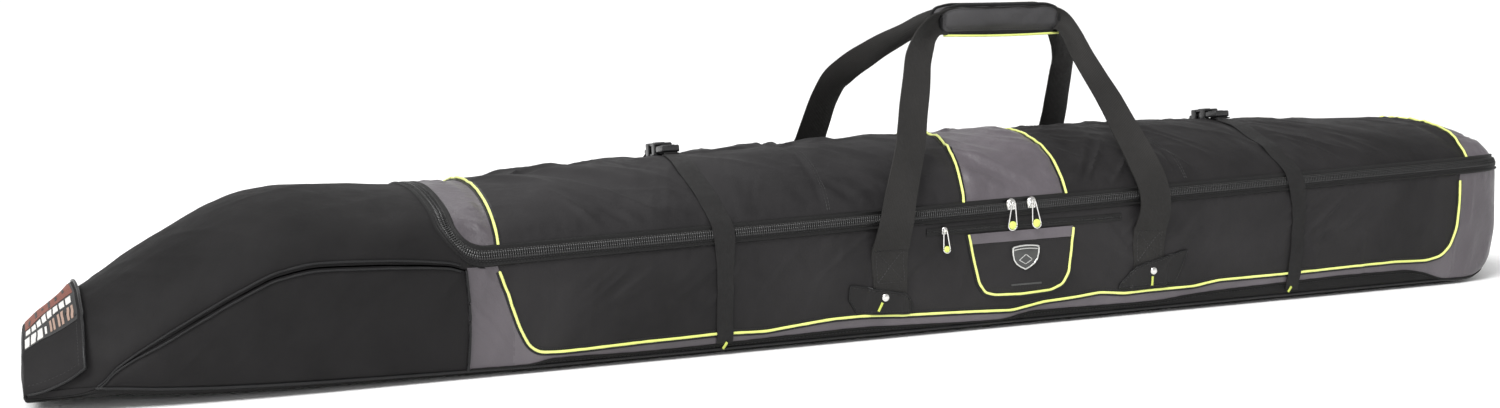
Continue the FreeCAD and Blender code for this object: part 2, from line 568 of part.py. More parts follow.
def slider(name, x, zc, y_in, width, tall, thick, puller_t, ear):
    # body of the slider with two ears that carry the pin the puller hangs on
    e_w, e_t, e_h = width, thick, tall
    plate_b = box(name + "_plate", ("dims.%s_width" % e_w, "dims.%s_thick" % e_w, "dims.%s_tall" % e_w), V(-g(e_w + "_width") / 2, -g(e_w + "_thick"), 0))
    items = [plate_b]
    top = g(e_w + "_tall") - 3
    reach = puller_t + 0.4
    for k, sx in (("left", -1), ("right", 1)):
        b = doc.addObject("Part::Box", name + "_ear_" + k)
        b.setExpression("Length", "dims.ear_thick")
        b.Width, b.Height = reach + 1, 2.4
        px = sx * (g(e_w + "_width") / 2 + 0.05) - (g("ear_thick") if sx < 0 else 0) + (-sx * 0.6)
        b.Placement = FreeCAD.Placement(V(px, -g(e_w + "_thick") - reach, top - 1.2), FreeCAD.Rotation())
        items.append(b)
    pin = doc.addObject("Part::Cylinder", name + "_pin")
    pin.setExpression("Radius", "dims.pin_radius")
    pin.Height = g(e_w + "_width") + 0.2
    pin.Placement = FreeCAD.Placement(V(-g(e_w + "_width") / 2 - 0.1, -g(e_w + "_thick") - reach + 0.2 + puller_t * 0.5, top), FreeCAD.Rotation(V(0, 1, 0), 90))
    items.append(pin)
    f = fuse(name + "_shape", items)
    doc.recompute()
    keep(f, name, FreeCAD.Placement(V(x, y_in, zc - g(e_w + "_tall") / 2), FreeCAD.Rotation()))
    py = y_in - g(e_w + "_thick") - reach + 0.2 + puller_t * 0.5
    return py, zc - g(e_w + "_tall") / 2 + top


def origin_plane(body, role):
    return [f for f in body.Origin.OriginFeatures if f.Role == role][0]


def puller(name, x, py, pz, key):
    # flat leg from a round tab up to the pin hole, drawn from the tab's lowest point
    body = doc.addObject("PartDesign::Body", name)
    sk = body.newObject("Sketcher::SketchObject", name + "_leg")
    sk.AttachmentSupport = [(origin_plane(body, "XZ_Plane"), "")]
    sk.MapMode = "FlatFace"
    w2, tot, tab = g(key + "_width") / 2, g(key + "_length"), g(key + "_tab")
    c = [V(-w2, tab, 0), V(w2, tab, 0), V(w2, tot + 0.6, 0), V(-w2, tot + 0.6, 0)]
    for a, b in zip(c, c[1:] + c[:1]):
        sk.addGeometry(Part.LineSegment(a, b), False)
    for k in range(4):
        sk.addConstraint(Sketcher.Constraint("Coincident", k, 2, (k + 1) % 4, 1))
    sk.addConstraint(Sketcher.Constraint("Horizontal", 2))
    for k in (1, 3):
        sk.addConstraint(Sketcher.Constraint("Vertical", k))
    sk.addConstraint(Sketcher.Constraint("Symmetric", 0, 1, 0, 2, -2))
    i = sk.addConstraint(Sketcher.Constraint("DistanceX", 0, 1, 0, 2, 2 * w2))
    sk.setExpression("Constraints[%d]" % i, "dims.%s_width" % key)
    i = sk.addConstraint(Sketcher.Constraint("DistanceY", -1, 1, 0, 1, tab))
    sk.setExpression("Constraints[%d]" % i, "dims.%s_tab" % key)
    i = sk.addConstraint(Sketcher.Constraint("DistanceY", -1, 1, 1, 2, tot + 0.6))
    sk.setExpression("Constraints[%d]" % i, "dims.%s_length + 0.6" % key)
    leg = body.newObject("PartDesign::Pad", name + "_pad")
    leg.Profile = sk
    leg.setExpression("Length", "dims.%s_thick" % key)
    leg.Reversed = True
    doc.recompute()
    sk2 = body.newObject("Sketcher::SketchObject", name + "_tab")
    sk2.AttachmentSupport = [(origin_plane(body, "XZ_Plane"), "")]
    sk2.MapMode = "FlatFace"
    sk2.addGeometry(Part.Circle(V(0, tab, 0), V(0, 0, 1), tab), False)
    sk2.addConstraint(Sketcher.Constraint("PointOnObject", 0, 3, -2))
    i = sk2.addConstraint(Sketcher.Constraint("DistanceY", -1, 1, 0, 3, tab))
    sk2.setExpression("Constraints[%d]" % i, "dims.%s_tab" % key)
    i = sk2.addConstraint(Sketcher.Constraint("Radius", 0, tab))
    sk2.setExpression("Constraints[%d]" % i, "dims.%s_tab" % key)
    disc = body.newObject("PartDesign::Pad", name + "_tab_pad")
    disc.Profile = sk2
    disc.setExpression("Length", "dims.%s_thick" % key)
    disc.Reversed = True
    doc.recompute()
    sk3 = body.newObject("Sketcher::SketchObject", name + "_pin_hole")
    sk3.AttachmentSupport = [(origin_plane(body, "YZ_Plane"), "")]
    sk3.MapMode = "FlatFace"
    rh = g("pin_radius") + g("pin_clear")
    sk3.addGeometry(Part.Circle(V(g(key + "_thick") / 2, tot, 0), V(0, 0, 1), rh), False)
    i = sk3.addConstraint(Sketcher.Constraint("DistanceX", -1, 1, 0, 3, g(key + "_thick") / 2))
    sk3.setExpression("Constraints[%d]" % i, "dims.%s_thick / 2" % key)
    i = sk3.addConstraint(Sketcher.Constraint("DistanceY", -1, 1, 0, 3, tot))
    sk3.setExpression("Constraints[%d]" % i, "dims.%s_length" % key)
    i = sk3.addConstraint(Sketcher.Constraint("Radius", 0, rh))
    sk3.setExpression("Constraints[%d]" % i, "dims.pin_radius + dims.pin_clear")
    before = body.Shape.Volume
    cutp = body.newObject("PartDesign::Pocket", name + "_hole")
    cutp.Profile = sk3
    cutp.Length = 40
    cutp.Midplane = True
    doc.recompute()
    body.Tip = cutp
    doc.recompute()
    assert body.Shape.Volume < before - 0.1, name + " pin hole cuts nothing"
    keep(body, name, FreeCAD.Placement(V(x, py - g(key + "_thick") / 2, pz - tot), FreeCAD.Rotation()))


PIVOTS = {}
for nm, alias in (("left", "main_left_x"), ("right", "main_right_x")):
    x = g(alias)
    py, pz = slider("main_slider_" + nm, x, seam(x) + lip + 0.5, chain_y, "slider", None, None, g("puller_thick"), None)
    puller("main_puller_" + nm, x, py, pz, "puller")
    PIVOTS["main_puller_" + nm] = (x + SHIFT, py, pz)
px = g("pocket_slider_x")
py, pz = slider("pocket_slider", px, tz + 4.6, -W - 1.5, "pocket_slider", None, None, g("pocket_puller_thick"), None)
puller("pocket_puller", px, py, pz, "pocket_puller")
PIVOTS["pocket_puller"] = (px + SHIFT, py, pz)

# ---- nose flap, folded over the tip and held by hook and loop ----
FX = [-941, -920, -900, -886]


def over_nose(i, o_out, o_in):
    return lambda a, b: arch([x for x in [a] + [q for q in FX if a + 2 < q < b - 2] + [b]], nose_half, i, i, o_out, o_in)


feature("nose_loop_strip", over_nose(9, 0.8, 0.1)(-928, -896))
feature("flap_hook_strip", over_nose(9, 2.1, 1.3)(-928, -896))
ft = g("flap_thick")
feature("nose_flap", over_nose(6, 2.2 + ft, 2.2)(-941, -886))
feature("flap_label", over_nose(9, 2.3 + ft + 0.6, 2.3 + ft)(-937, -890))

doc.recompute()
bad = [o.Name for o in doc.Objects if "Invalid" in o.State or "Error" in o.State]
for o in parts:
    if o.Shape.isNull() or not o.Shape.isValid() or not o.Shape.Solids:
        bad.append(o.Label)
if bad:
    raise SystemExit("failed: %s" % bad)
names = [o.Label for o in parts]
assert len(set(names)) == len(names)
for o in parts:
    o.Shape.exportStep("parts/%s.step" % o.Label)
    b = o.Shape.BoundBox
    print("%-28s n=%d vol=%9.1f  x %7.1f %7.1f  y %7.1f %7.1f  z %6.1f %6.1f" % (
        o.Label, len(o.Shape.Solids), o.Shape.Volume, b.XMin, b.XMax, b.YMin, b.YMax, b.ZMin, b.ZMax))
print(len(parts), "parts; pivots", PIVOTS, "split at 0:", seam(0) + lip)
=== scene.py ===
import math
import bpy
import bmesh
import numpy as np
from mathutils import Vector, Matrix


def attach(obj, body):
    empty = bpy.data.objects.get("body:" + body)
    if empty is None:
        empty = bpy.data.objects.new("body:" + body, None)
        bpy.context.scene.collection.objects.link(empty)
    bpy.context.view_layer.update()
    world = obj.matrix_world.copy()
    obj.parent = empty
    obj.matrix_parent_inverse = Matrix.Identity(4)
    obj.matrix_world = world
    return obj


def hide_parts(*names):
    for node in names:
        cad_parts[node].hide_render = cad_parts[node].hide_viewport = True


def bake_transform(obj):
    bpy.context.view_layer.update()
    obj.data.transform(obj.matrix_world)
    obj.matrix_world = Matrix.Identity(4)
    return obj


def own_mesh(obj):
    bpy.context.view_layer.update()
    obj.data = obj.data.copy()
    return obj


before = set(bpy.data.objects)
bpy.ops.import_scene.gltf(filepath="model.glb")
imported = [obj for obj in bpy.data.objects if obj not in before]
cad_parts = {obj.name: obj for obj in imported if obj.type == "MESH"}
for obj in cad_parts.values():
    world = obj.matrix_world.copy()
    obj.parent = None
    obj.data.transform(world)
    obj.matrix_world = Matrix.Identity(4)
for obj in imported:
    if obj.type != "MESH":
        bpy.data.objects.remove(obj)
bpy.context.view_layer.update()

SHIFT = 10.0
TAU = 2 * math.pi
RNG = np.random.default_rng(7)

# ------------------------------------------------------------------ measures, in mm before the 10 mm shift along X
TOP = [(-942, 60), (-920, 78), (-900, 92), (-860, 112), (-820, 138), (-780, 159), (-740, 179), (-700, 192), (-660, 196),
       (-600, 193), (-528, 189), (-505, 190), (-440, 195.5), (-340, 201), (-218, 206.5), (-80, 213), (80, 217.6), (228, 219),
       (400, 221), (571, 217.8), (720, 214), (800, 210.6), (848, 208.6), (880, 206), (900, 202), (915, 195), (926, 185), (932, 173)]
SEAM = [(-942, 14), (-920, 15), (-900, 17), (-878, 23), (-860, 40), (-845, 50), (-820, 64), (-780, 86), (-740, 107), (-700, 124), (-660, 130),
        (-600, 128), (-528, 122), (-505, 116.04)]
SEAM = SEAM + [(x, 126.9 + 0.0215 * x) for x in (-460, -400, 0, 400, 932)]
WIDE = [(-942, 104), (-920, 112), (-900, 119), (-878, 126), (-820, 134), (-760, 138), (-700, 141), (-640, 142), (848, 142), (880, 141), (900, 138.5), (915, 133), (926, 124), (932, 112)]
LOW = [(-942, 9), (-900, 12), (-878, 13.5), (-820, 9.5), (-760, 6.5), (-700, 5), (-640, 4), (-520, 2), (-400, 0), (848, 0), (868, 1.5), (885, 4.5), (900, 10), (915, 21), (926, 35), (932, 50)]
LIME = [(-473, 112), (-463, 83), (-452, 50), (-442, 30), (-431, 22), (-407, 20.5), (-376, 21), (-308, 23), (-225, 24), (-164, 22),
        (-120, 26), (-80, 29), (-37, 29), (7, 26), (93, 23), (158, 20), (202, 27), (247, 29), (282, 32), (317, 28), (357, 29),
        (422, 29), (456, 34), (562, 34), (687, 36), (740, 37), (795, 35), (817, 39), (833, 52), (842, 75), (846, 110), (847, 138)]
BASE_EDGE = [(-942, 19), (-878, 24), (-820, 20), (-700, 15.5), (-520, 10), (-446, 8.5), (-412, 13), (-308, 11), (-121, 14), (-51, 15), (36, 12), (141, 9), (191, 16), (357, 14),
             (432, 19), (556, 22), (661, 24), (755, 23.5), (788, 19), (812, 11.5), (832, 7), (868, 6.2), (885, 7), (900, 11.5), (915, 21.5), (926, 35.5), (932, 51)]
POCKET = [(96, 114), (104, 81), (111, 56), (120, 44), (133, 40.5), (169, 39), (211, 41), (227, 47), (235, 60), (239, 86), (241, 114)]


def pchip(rows):
    x = np.array([r[0] for r in rows], float)
    y = np.array([r[1] for r in rows], float)
    h = np.diff(x)
    d = np.diff(y) / h
    m = np.zeros_like(y)
    prod = d[:-1] * d[1:]
    m[1:-1] = np.where(prod > 0, 2 * prod / np.where(np.abs(d[:-1] + d[1:]) < 1e-9, 1, d[:-1] + d[1:]), 0)
    m[0], m[-1] = d[0], d[-1]

    def f(q):
        q = np.clip(np.asarray(q, float), x[0], x[-1])
        i = np.clip(np.searchsorted(x, q) - 1, 0, len(x) - 2)
        t = (q - x[i]) / h[i]
        return ((2 * t ** 3 - 3 * t ** 2 + 1) * y[i] + (t ** 3 - 2 * t ** 2 + t) * h[i] * m[i]
                + (-2 * t ** 3 + 3 * t ** 2) * y[i + 1] + (t ** 3 - t ** 2) * h[i] * m[i + 1])
    return f


top_f, seam_f, wide_f, low_f, edge_f = pchip(TOP), pchip(SEAM), pchip(WIDE), pchip(LOW), pchip(BASE_EDGE)


def lattice(ix, iy, seed):
    n = (ix * 374761393 + iy * 668265263 + seed * 1442695041) & 0xffffffff
    n = ((n ^ (n >> 13)) * 1274126177) & 0xffffffff
    return ((n ^ (n >> 16)) & 0xffff) / 32767.5 - 1.0


def noise(x, y, seed):
    x, y = np.broadcast_arrays(np.asarray(x, float), np.asarray(y, float))
    ix, iy = np.floor(x).astype(np.int64), np.floor(y).astype(np.int64)
    fx, fy = x - ix, y - iy
    fx, fy = fx ** 3 * (fx * (fx * 6 - 15) + 10), fy ** 3 * (fy * (fy * 6 - 15) + 10)
    a, b = lattice(ix, iy, seed), lattice(ix + 1, iy, seed)
    c, d = lattice(ix, iy + 1, seed), lattice(ix + 1, iy + 1, seed)
    return (a + (b - a) * fx) * (1 - fy) + (c + (d - c) * fx) * fy


def fbm(x, y, seed, octaves=3):
    out, amp, tot = 0, 1.0, 0.0
    for k in range(octaves):
        out = out + amp * noise(x * 2 ** k, y * 2 ** k, seed + 11 * k)
        tot += amp
        amp *= 0.5
    return out / tot


def folds(x, y, angle, across, along, seed, sharp=1.6):
    # long soft creases: noise stretched along one direction, with rounded ridges
    ca, sa = math.cos(angle), math.sin(angle)
    u, v = (x * ca + y * sa) / along, (-x * sa + y * ca) / across
    v = v + 0.6 * noise(u * 0.8, v * 0.35, seed + 5)
    return (1 - np.abs(noise(u, v, seed))) ** sharp * 1.0 - 0.42


def bell(d, r):
    return np.exp(-(d / r) ** 2)


def ramp(x, a, b):
    t = np.clip((x - a) / (b - a), 0, 1)
    return t * t * (3 - 2 * t)


# ------------------------------------------------------------------ the skin of the bag as one smooth table of points
# section coordinate: 0-1 underside, 1-2 front corner, 2-3 front wall, 3-5 over the crown, 5-6 rear wall, 6-7 corner, 7-8 underside
STEP = 2.0
XS = np.arange(-942, 932.1, STEP)
ROWS = np.concatenate([np.linspace(a, a + 1, n, endpoint=False) for a, n in zip(range(8), (12, 9, 72, 112, 112, 56, 9, 12))] + [[8.0]])
w_, h_, t_, l_ = wide_f(XS), seam_f(XS), top_f(XS), low_f(XS)
r_ = np.minimum(14.0, (h_ - l_) * 0.45)
z3_ = l_ + r_
power = 1.9 + 0.22 * ramp(XS, -640, -480) + 0.25 * ramp(XS, 850, 930)
tt = np.linspace(0, math.pi / 2, 420)
CY = -w_[:, None] * np.clip(np.cos(tt)[None, :], 0, 1) ** (2 / power[:, None])
CZ = h_[:, None] + (t_ - h_)[:, None] * np.sin(tt)[None, :] ** (2 / power[:, None])
CS = np.concatenate([np.zeros((len(XS), 1)), np.cumsum(np.hypot(np.diff(CY, axis=1), np.diff(CZ, axis=1)), axis=1)], axis=1)
S_ = CS[:, -1]
base = np.zeros((len(ROWS), len(XS), 3))
base[:, :, 0] = XS[None, :]
for j, p in enumerate(ROWS):
    q = p if p <= 4 else 8 - p
    sgn = 1 if p <= 4 else -1
    k, f = min(int(q), 3), q - min(int(q), 3)
    if k == 0:
        y, z = -(w_ - r_) * f, l_
    elif k == 1:
        y, z = -(w_ - r_) - r_ * math.sin(f * math.pi / 2), l_ + r_ * (1 - math.cos(f * math.pi / 2))
    elif k == 2:
        y, z = -w_, z3_ + (h_ - z3_) * f
    else:
        want = S_ * f
        y = np.array([np.interp(want[i], CS[i], CY[i]) for i in range(len(XS))])
        z = np.array([np.interp(want[i], CS[i], CZ[i]) for i in range(len(XS))])
    base[j, :, 1], base[j, :, 2] = sgn * y, z


def normals(P):
    du = np.gradient(P, axis=1)
    dv = np.gradient(P, axis=0)
    n = np.cross(du, dv)
    return n / np.maximum(np.linalg.norm(n, axis=2, keepdims=True), 1e-9)


NB = normals(base)
X = XS[None, :] + 0 * ROWS[:, None]
Z = base[:, :, 2]
Pm = ROWS[:, None] + 0 * XS[None, :]
arc = np.concatenate([np.zeros((1, len(XS))), np.cumsum(np.linalg.norm(np.diff(base, axis=0), axis=2), axis=0)], axis=0)
S = S_[None, :]
s_up = (Pm - 3) * S            # length up from the front seam, on the crown
s_dn = (5 - Pm) * S            # the same from the rear seam
front_side = Pm <= 4
s_near = np.where(front_side, s_up, s_dn)
wall = ((Pm >= 2) & (Pm <= 3)) | ((Pm >= 5) & (Pm <= 6))
frac = np.where(Pm <= 4, Pm - 2, 6 - Pm)
crown = (Pm >= 3) & (Pm <= 5)
on_lid = crown & (X > -508)
on_nose = X < -530
disp = np.zeros_like(X)
# walls: a soft belly, vertical and slanted folds, and puckers along the seams
wm = np.where(wall, np.sin(np.clip(frac, 0, 1) * math.pi) ** 0.7, 0)
disp += wm * (1.6 + 1.5 * fbm(X / 170, Z / 120, 3))
disp += wm * 3.0 * np.where(on_nose, 0.35, 1) * folds(X, Z, 1.45, 26, 120, 21) * (0.35 + 0.65 * ramp(noise(X / 160, Z / 300, 9), -0.3, 0.5))
disp += wm * 2.7 * np.where(on_nose, 0.35, 1) * folds(X, Z, 0.75, 22, 110, 33) * ramp(noise(X / 210, Z / 200, 14), -0.1, 0.6)
up = np.where(wall, (h_[None, :] - Z), 99)
disp += np.where(wall, 1, 0) * 0.55 * np.exp(-np.clip(up, 0, 200) / 16) * (noise(X / 7.5, up / 60, 61) + 0.6 * noise(X / 3.9, up / 40, 62))
# crown: broad sags between the seams and slanting drag lines towards the zip
cm = np.where(crown, ramp(s_near, 24, 52), 0)
calm = 1 - 0.75 * np.max([bell(X - q, 16) for q in (-470, 90, 104, 118, 233, 860, 875, 888)], axis=0)
# the straps press the lid flat beneath their buckles
for q in (-218, 571):
    calm = calm * (1 - 0.85 * bell(X - q, 34) * ramp(4.4 - np.abs(Pm - 4) - 3.6, 0.0, 0.35))
disp += cm * 3.4 * fbm(X / 230, arc / 130, 5) * np.where(on_lid, 1, 0.7)
disp += cm * calm * 6.4 * np.where(on_lid, 1, 0.15) * folds(X, np.where(front_side, arc, -arc), -0.72, 30, 150, 41) * (0.25 + 0.75 * ramp(noise(X / 190, arc / 160, 17), -0.25, 0.5))
disp += cm * calm * 4.4 * np.where(on_lid, 1, 0.15) * folds(X, np.where(front_side, arc, -arc), -0.35, 19, 95, 47) * ramp(noise(X / 140, arc / 140, 19), -0.1, 0.6)
disp += np.where(crown & ~on_nose, 0.8 * np.exp(-np.abs(s_near - 28) / 14) * ramp(s_near, 24, 30) * (noise(X / 8.5, s_near / 50, 71) + 0.5 * noise(X / 4.2, s_near / 40, 72)), 0)
# straps cinch the lid, and the fabric bunches beside them
for sx, seed in ((-224, 81), (562, 82)):
    d = X - sx
    disp -= cm * 4.2 * bell(d, 30) * ramp(np.abs(Pm - 4), 0.22, 0.5)
    disp += cm * 1.9 * bell(np.abs(d) - 34, 16) * (0.6 + 0.8 * noise(d / 22, arc / 46, seed))
    disp += cm * 1.3 * folds(X, arc, 1.2 if sx < 0 else 1.9, 13, 60, seed + 4) * bell(d, 90)
    disp -= wm * 1.2 * bell(d, 26)
# drag folds that fan out from the handle roots and below the zip
for hx, lean_ in ((-30, 0.9), (300, -0.9), (385, 0.95), (-300, 0.8), (640, 0.7)):
    g = bell(X - hx, 62)
    disp += cm * calm * 8.5 * g * folds(X - hx, np.where(front_side, arc, -arc), -lean_, 17, 130, 140 + int(hx) % 17, 1.8) * np.exp(-s_near / 130.0)
    disp += wm * 6.6 * g * folds(X - hx, Z, lean_ * 0.8, 15, 90, 160 + int(hx) % 13, 1.7) * ramp(frac, 0.25, 0.8)
# the lid's sewn lines pull in
for cx in (-475, 95, 237, 857, -86, 400):
    deep = 2.4 if cx not in (-86, 400) else 1.5
    disp -= cm * deep * bell(X - cx, 9)
    if cx in (-86, 400):
        disp -= cm * 1.5 * bell(X - cx - 4 * np.sin(arc / 60.0), 4.5)
    side_d = np.abs(X - cx)
    disp += cm * 0.9 * np.exp(-side_d / 26) * (1 - bell(side_d, 6)) * (noise(arc / 9.0, side_d / 60, 90 + int(cx) % 13) + 0.5 * noise(arc / 4.6, side_d / 40, 95))
# the gray shiny panels carry tight slanting wrinkles
for a, b, seed in ((100, 236, 101), (860, 925, 102), (-506, -477, 103)):
    m = ramp(X, a, a + 12) * (1 - ramp(X, b - 12, b))
    disp += cm * m * 1.6 * folds(X, np.where(front_side, arc, -arc), -0.62, 10, 60, seed, 1.2)
    disp += cm * m * 2.6 * folds(X, np.where(front_side, arc, -arc), -0.8, 24, 110, seed + 7, 1.5)
# the nose: flattened front faces, creases towards the folded tip
nm = np.where(on_nose, ramp(-X, 530, 600), 0)
disp += nm * np.where(crown, ramp(s_near, 8, 40), 0) * (0.9 * folds(X, arc, 0.5, 44, 190, 55) + 0.5 * folds(X, arc, 2.4, 30, 120, 57))
tipm = ramp(-X, 780, 900)
disp += tipm * np.where(crown, ramp(s_near, 6, 30), 0) * 1.3 * folds(X, arc, 1.35, 22, 90, 58)
disp += tipm * np.where(wall, 1, 0) * wm * 1.2 * folds(X, Z, 0.5, 18, 70, 59)
disp -= nm * np.where(wall | crown, 1, 0) * 1.4 * bell(np.where(crown, s_near, up), 7)
disp += wm * ramp(-X, 440, 470) * (1 - ramp(-X, 503, 512)) * 2.4 * folds(X, Z, -0.95, 17, 120, 191, 1.6)
# underside: only shallow unevenness
under = (Pm < 1) | (Pm > 7)
disp += np.where(under, 0.4 * fbm(X / 60, base[:, :, 1] / 60, 8), 0)
disp *= ramp(XS, -942, -925)[None, :] * 0.75 + 0.25
SKIN = base + NB * disp[:, :, None]
SKIN[:, :, 0] += ramp(-X, 850, 942) * 0.085 * (SKIN[:, :, 1] + 104)
NS = normals(SKIN)


def blur(a):
    a = (a + np.roll(a, 1, 0) + np.roll(a, -1, 0)) / 3
    return a


def at(x, p, off=0.0, want_n=False):
    x, p = np.broadcast_arrays(np.asarray(x, float), np.asarray(p, float))
    cx = np.clip((x - XS[0]) / STEP, 0, len(XS) - 1.001)
    i = cx.astype(int)
    fx = (cx - i)[..., None]
    rr = np.clip(np.interp(p, ROWS, np.arange(len(ROWS))), 0, len(ROWS) - 1.001)
    j = rr.astype(int)
    fr = (rr - j)[..., None]

    def bil(T):
        return (T[j, i] * (1 - fx) + T[j, i + 1] * fx) * (1 - fr) + (T[j + 1, i] * (1 - fx) + T[j + 1, i + 1] * fx) * fr
    n = bil(NS)
    n = n / np.maximum(np.linalg.norm(n, axis=-1, keepdims=True), 1e-9)
    pos = bil(SKIN) + n * (off if np.isscalar(off) else np.asarray(off)[..., None])
    return (pos, n) if want_n else pos


def len_at(x):
    return np.interp(x, XS, S_)


def from_s(x, s):
    # section coordinate of a point s mm up from the front seam; negative s goes down the wall
    x, s = np.broadcast_arrays(np.asarray(x, float), np.asarray(s, float))
    hw = seam_f(x) - np.interp(x, XS, z3_)
    return np.where(s >= 0, 3 + s / len_at(x), 3 + s / hw)


def from_z(x, z):
    # section coordinate of a height on the front wall or corner
    x, z = np.broadcast_arrays(np.asarray(x, float), np.asarray(z, float))
    z3, lw, rad, h = np.interp(x, XS, z3_), np.interp(x, XS, l_), np.interp(x, XS, r_), seam_f(x)
    up_wall = 2 + (z - z3) / (h - z3)
    cor = 1 + np.arccos(np.clip(1 - (z - lw) / rad, -1, 1)) / (math.pi / 2)
    return np.where(z > h, 3 + (z - h) / len_at(x), np.where(z >= z3, up_wall, cor))


def from_y(x, y):
    # section coordinate of a point on the crown at depth y, for single values
    i = int(round((min(max(x, XS[0]), XS[-1]) - XS[0]) / STEP))
    s = np.interp(-abs(y), CY[i], CS[i])
    return 3 + s / S_[i] if y <= 0 else 5 - s / S_[i]


def metres(P):
    P = np.asarray(P, float).copy()
    P[..., 0] += SHIFT
    return P / 1000.0


# ------------------------------------------------------------------ mesh makers
def mesh_object(name, verts, faces, mats, uv=None, smooth=True, sharp=40, face_mat=None):
    me = bpy.data.meshes.new(name)
    me.from_pydata([tuple(v) for v in verts], [], [tuple(int(i) for i in f) for f in faces])
    me.update()
    if uv is not None:
        layer = me.uv_layers.new(name="UVMap")
        idx = np.zeros(len(me.loops), int)
        me.loops.foreach_get("vertex_index", idx)
        layer.data.foreach_set("uv", np.asarray(uv, np.float32)[idx].ravel())
    for m in (mats if isinstance(mats, (list, tuple)) else [mats]):
        me.materials.append(m)
    if smooth:
        me.polygons.foreach_set("use_smooth", [True] * len(me.polygons))
        me.set_sharp_from_angle(angle=math.radians(sharp))
    if face_mat is not None:
        me.polygons.foreach_set("material_index", face_mat)
    ob = bpy.data.objects.new(name, me)
    bpy.context.collection.objects.link(ob)
    return ob


def quads(nj, ni, start=0, flip=False, wrap=False):
    j, i = np.meshgrid(np.arange(nj - 1), np.arange(ni if wrap else ni - 1), indexing="ij")
    i2 = (i + 1) % ni
    a, b, c, d = start + j * ni + i, start + j * ni + i2, start + (j + 1) * ni + i2, start + (j + 1) * ni + i
    q = np.stack([a, b, c, d] if not flip else [a, d, c, b], axis=-1).reshape(-1, 4)
    return q


def shell(P, thick=1.4, uv=None, N=None):
    # closed cloth panel: outer grid, inner grid and a rim, in mm; returns verts, faces, uv
    nj, ni = P.shape[:2]
    n = normals(P) if N is None else N
    inner = P - n * thick
    verts = np.concatenate([P.reshape(-1, 3), inner.reshape(-1, 3)])
    k = nj * ni
    faces = [quads(nj, ni), quads(nj, ni, k, flip=True)]
    ring = np.concatenate([np.arange(ni), (np.arange(1, nj) + 1) * ni - 1, (nj - 1) * ni + np.arange(ni - 2, -1, -1), np.arange(nj - 2, 0, -1) * ni])
    nxt = np.roll(ring, -1)
    faces.append(np.stack([ring, ring + k, nxt + k, nxt], axis=-1))
    if uv is not None:
        uv = np.concatenate([uv.reshape(-1, 2), uv.reshape(-1, 2)])
    return verts, np.concatenate(faces), uv


def join(parts):
    vs, fs, us, base_i = [], [], [], 0
    for part in parts:
        v, f = part[0], part[1]
        vs.append(np.asarray(v))
        fs.extend([tuple(int(q) + base_i for q in face) for face in f])
        us.append(part[2] if len(part) > 2 and part[2] is not None else np.asarray(v)[:, [0, 2]] * 0.001)
        base_i += len(v)
    return np.concatenate(vs), fs, np.concatenate(us)


def cloth(name, body, mat, parts, replaces=(), sharp=40):
    v, f, u = join(parts)
    ob = mesh_object(name, metres(v), f, mat, u, sharp=sharp)
    if body:
        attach(ob, body)
    if replaces:
        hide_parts(*replaces)
    return ob


def panel(x, p, thick=1.4, off=0.0):
    # grid of skin points with a cloth shell; x and p are arrays of the same shape
    P = at(x, p, off)
    arc_len = np.concatenate([np.zeros((1, P.shape[1])), np.cumsum(np.linalg.norm(np.diff(P, axis=0), axis=2), axis=0)], axis=0)
    return shell(P, thick, np.stack([P[:, :, 0], arc_len], axis=-1) * 0.001)


def tube(points, radius, sides=10, caps=True, flat=1.0, up=None, wave=0.0, seed=0):
    P = np.asarray(points, float)
    n = len(P)
    T = np.gradient(P, axis=0)
    T /= np.maximum(np.linalg.norm(T, axis=1, keepdims=True), 1e-9)
    ref = np.asarray(up, float) if up is not None else np.array([0.0, 0.0, 1.0])
    if ref.ndim == 1:
        ref = np.tile(ref, (n, 1))
    A = np.cross(T, ref)
    bad = np.linalg.norm(A, axis=1) < 1e-3
    A[bad] = np.cross(T[bad], np.array([0.3, 0.9, 0.1]))
    A /= np.linalg.norm(A, axis=1, keepdims=True)
    B = np.cross(A, T)
    ang = np.linspace(0, TAU, sides, endpoint=False)
    rad = radius if np.isscalar(radius) else np.asarray(radius)[:, None, None]
    rad = rad * np.ones((n, 1, 1))
    if wave:
        rad = rad * (1 + wave * noise(np.arange(n) * 0.33, np.zeros(n), seed))[:, None, None]
    V = P[:, None, :] + rad * (np.cos(ang)[None, :, None] * A[:, None, :] + flat * np.sin(ang)[None, :, None] * B[:, None, :])
    verts = V.reshape(-1, 3)
    faces = [tuple(f) for f in quads(n, sides, flip=True, wrap=True)]
    if caps:
        verts = np.concatenate([verts, P[:1] - T[:1] * np.max(rad[0]) * 0.5, P[-1:] + T[-1:] * np.max(rad[-1]) * 0.5])
        a, b = n * sides, n * sides + 1
        for k in range(sides):
            k2 = (k + 1) % sides
            faces.append((a, k, k2))
            faces.append((b, (n - 1) * sides + k2, (n - 1) * sides + k))
    L = np.concatenate([[0], np.cumsum(np.linalg.norm(np.diff(P, axis=0), axis=1))])
    uv = np.stack([np.repeat(L, sides), np.tile(ang * radius if np.isscalar(radius) else ang, n)], axis=-1) * 0.001
    if caps:
        uv = np.concatenate([uv, [[0, 0], [L[-1] * 0.001, 0]]])
    return verts, faces, uv


def resample(points, step):
    P = np.asarray(points, float)
    L = np.concatenate([[0], np.cumsum(np.linalg.norm(np.diff(P, axis=0), axis=1))])
    n = max(3, int(L[-1] / step) + 1)
    q = np.linspace(0, L[-1], n)
    return np.stack([np.interp(q, L, P[:, k]) for k in range(P.shape[1])], axis=-1)


def smooth_line(points, step, rounds=6, keep_ends=True):
    P = resample(points, step)
    for _ in range(rounds):
        Q = P.copy()
        Q[1:-1] = (P[:-2] + 2 * P[1:-1] + P[2:]) / 4
        P = Q
    return P


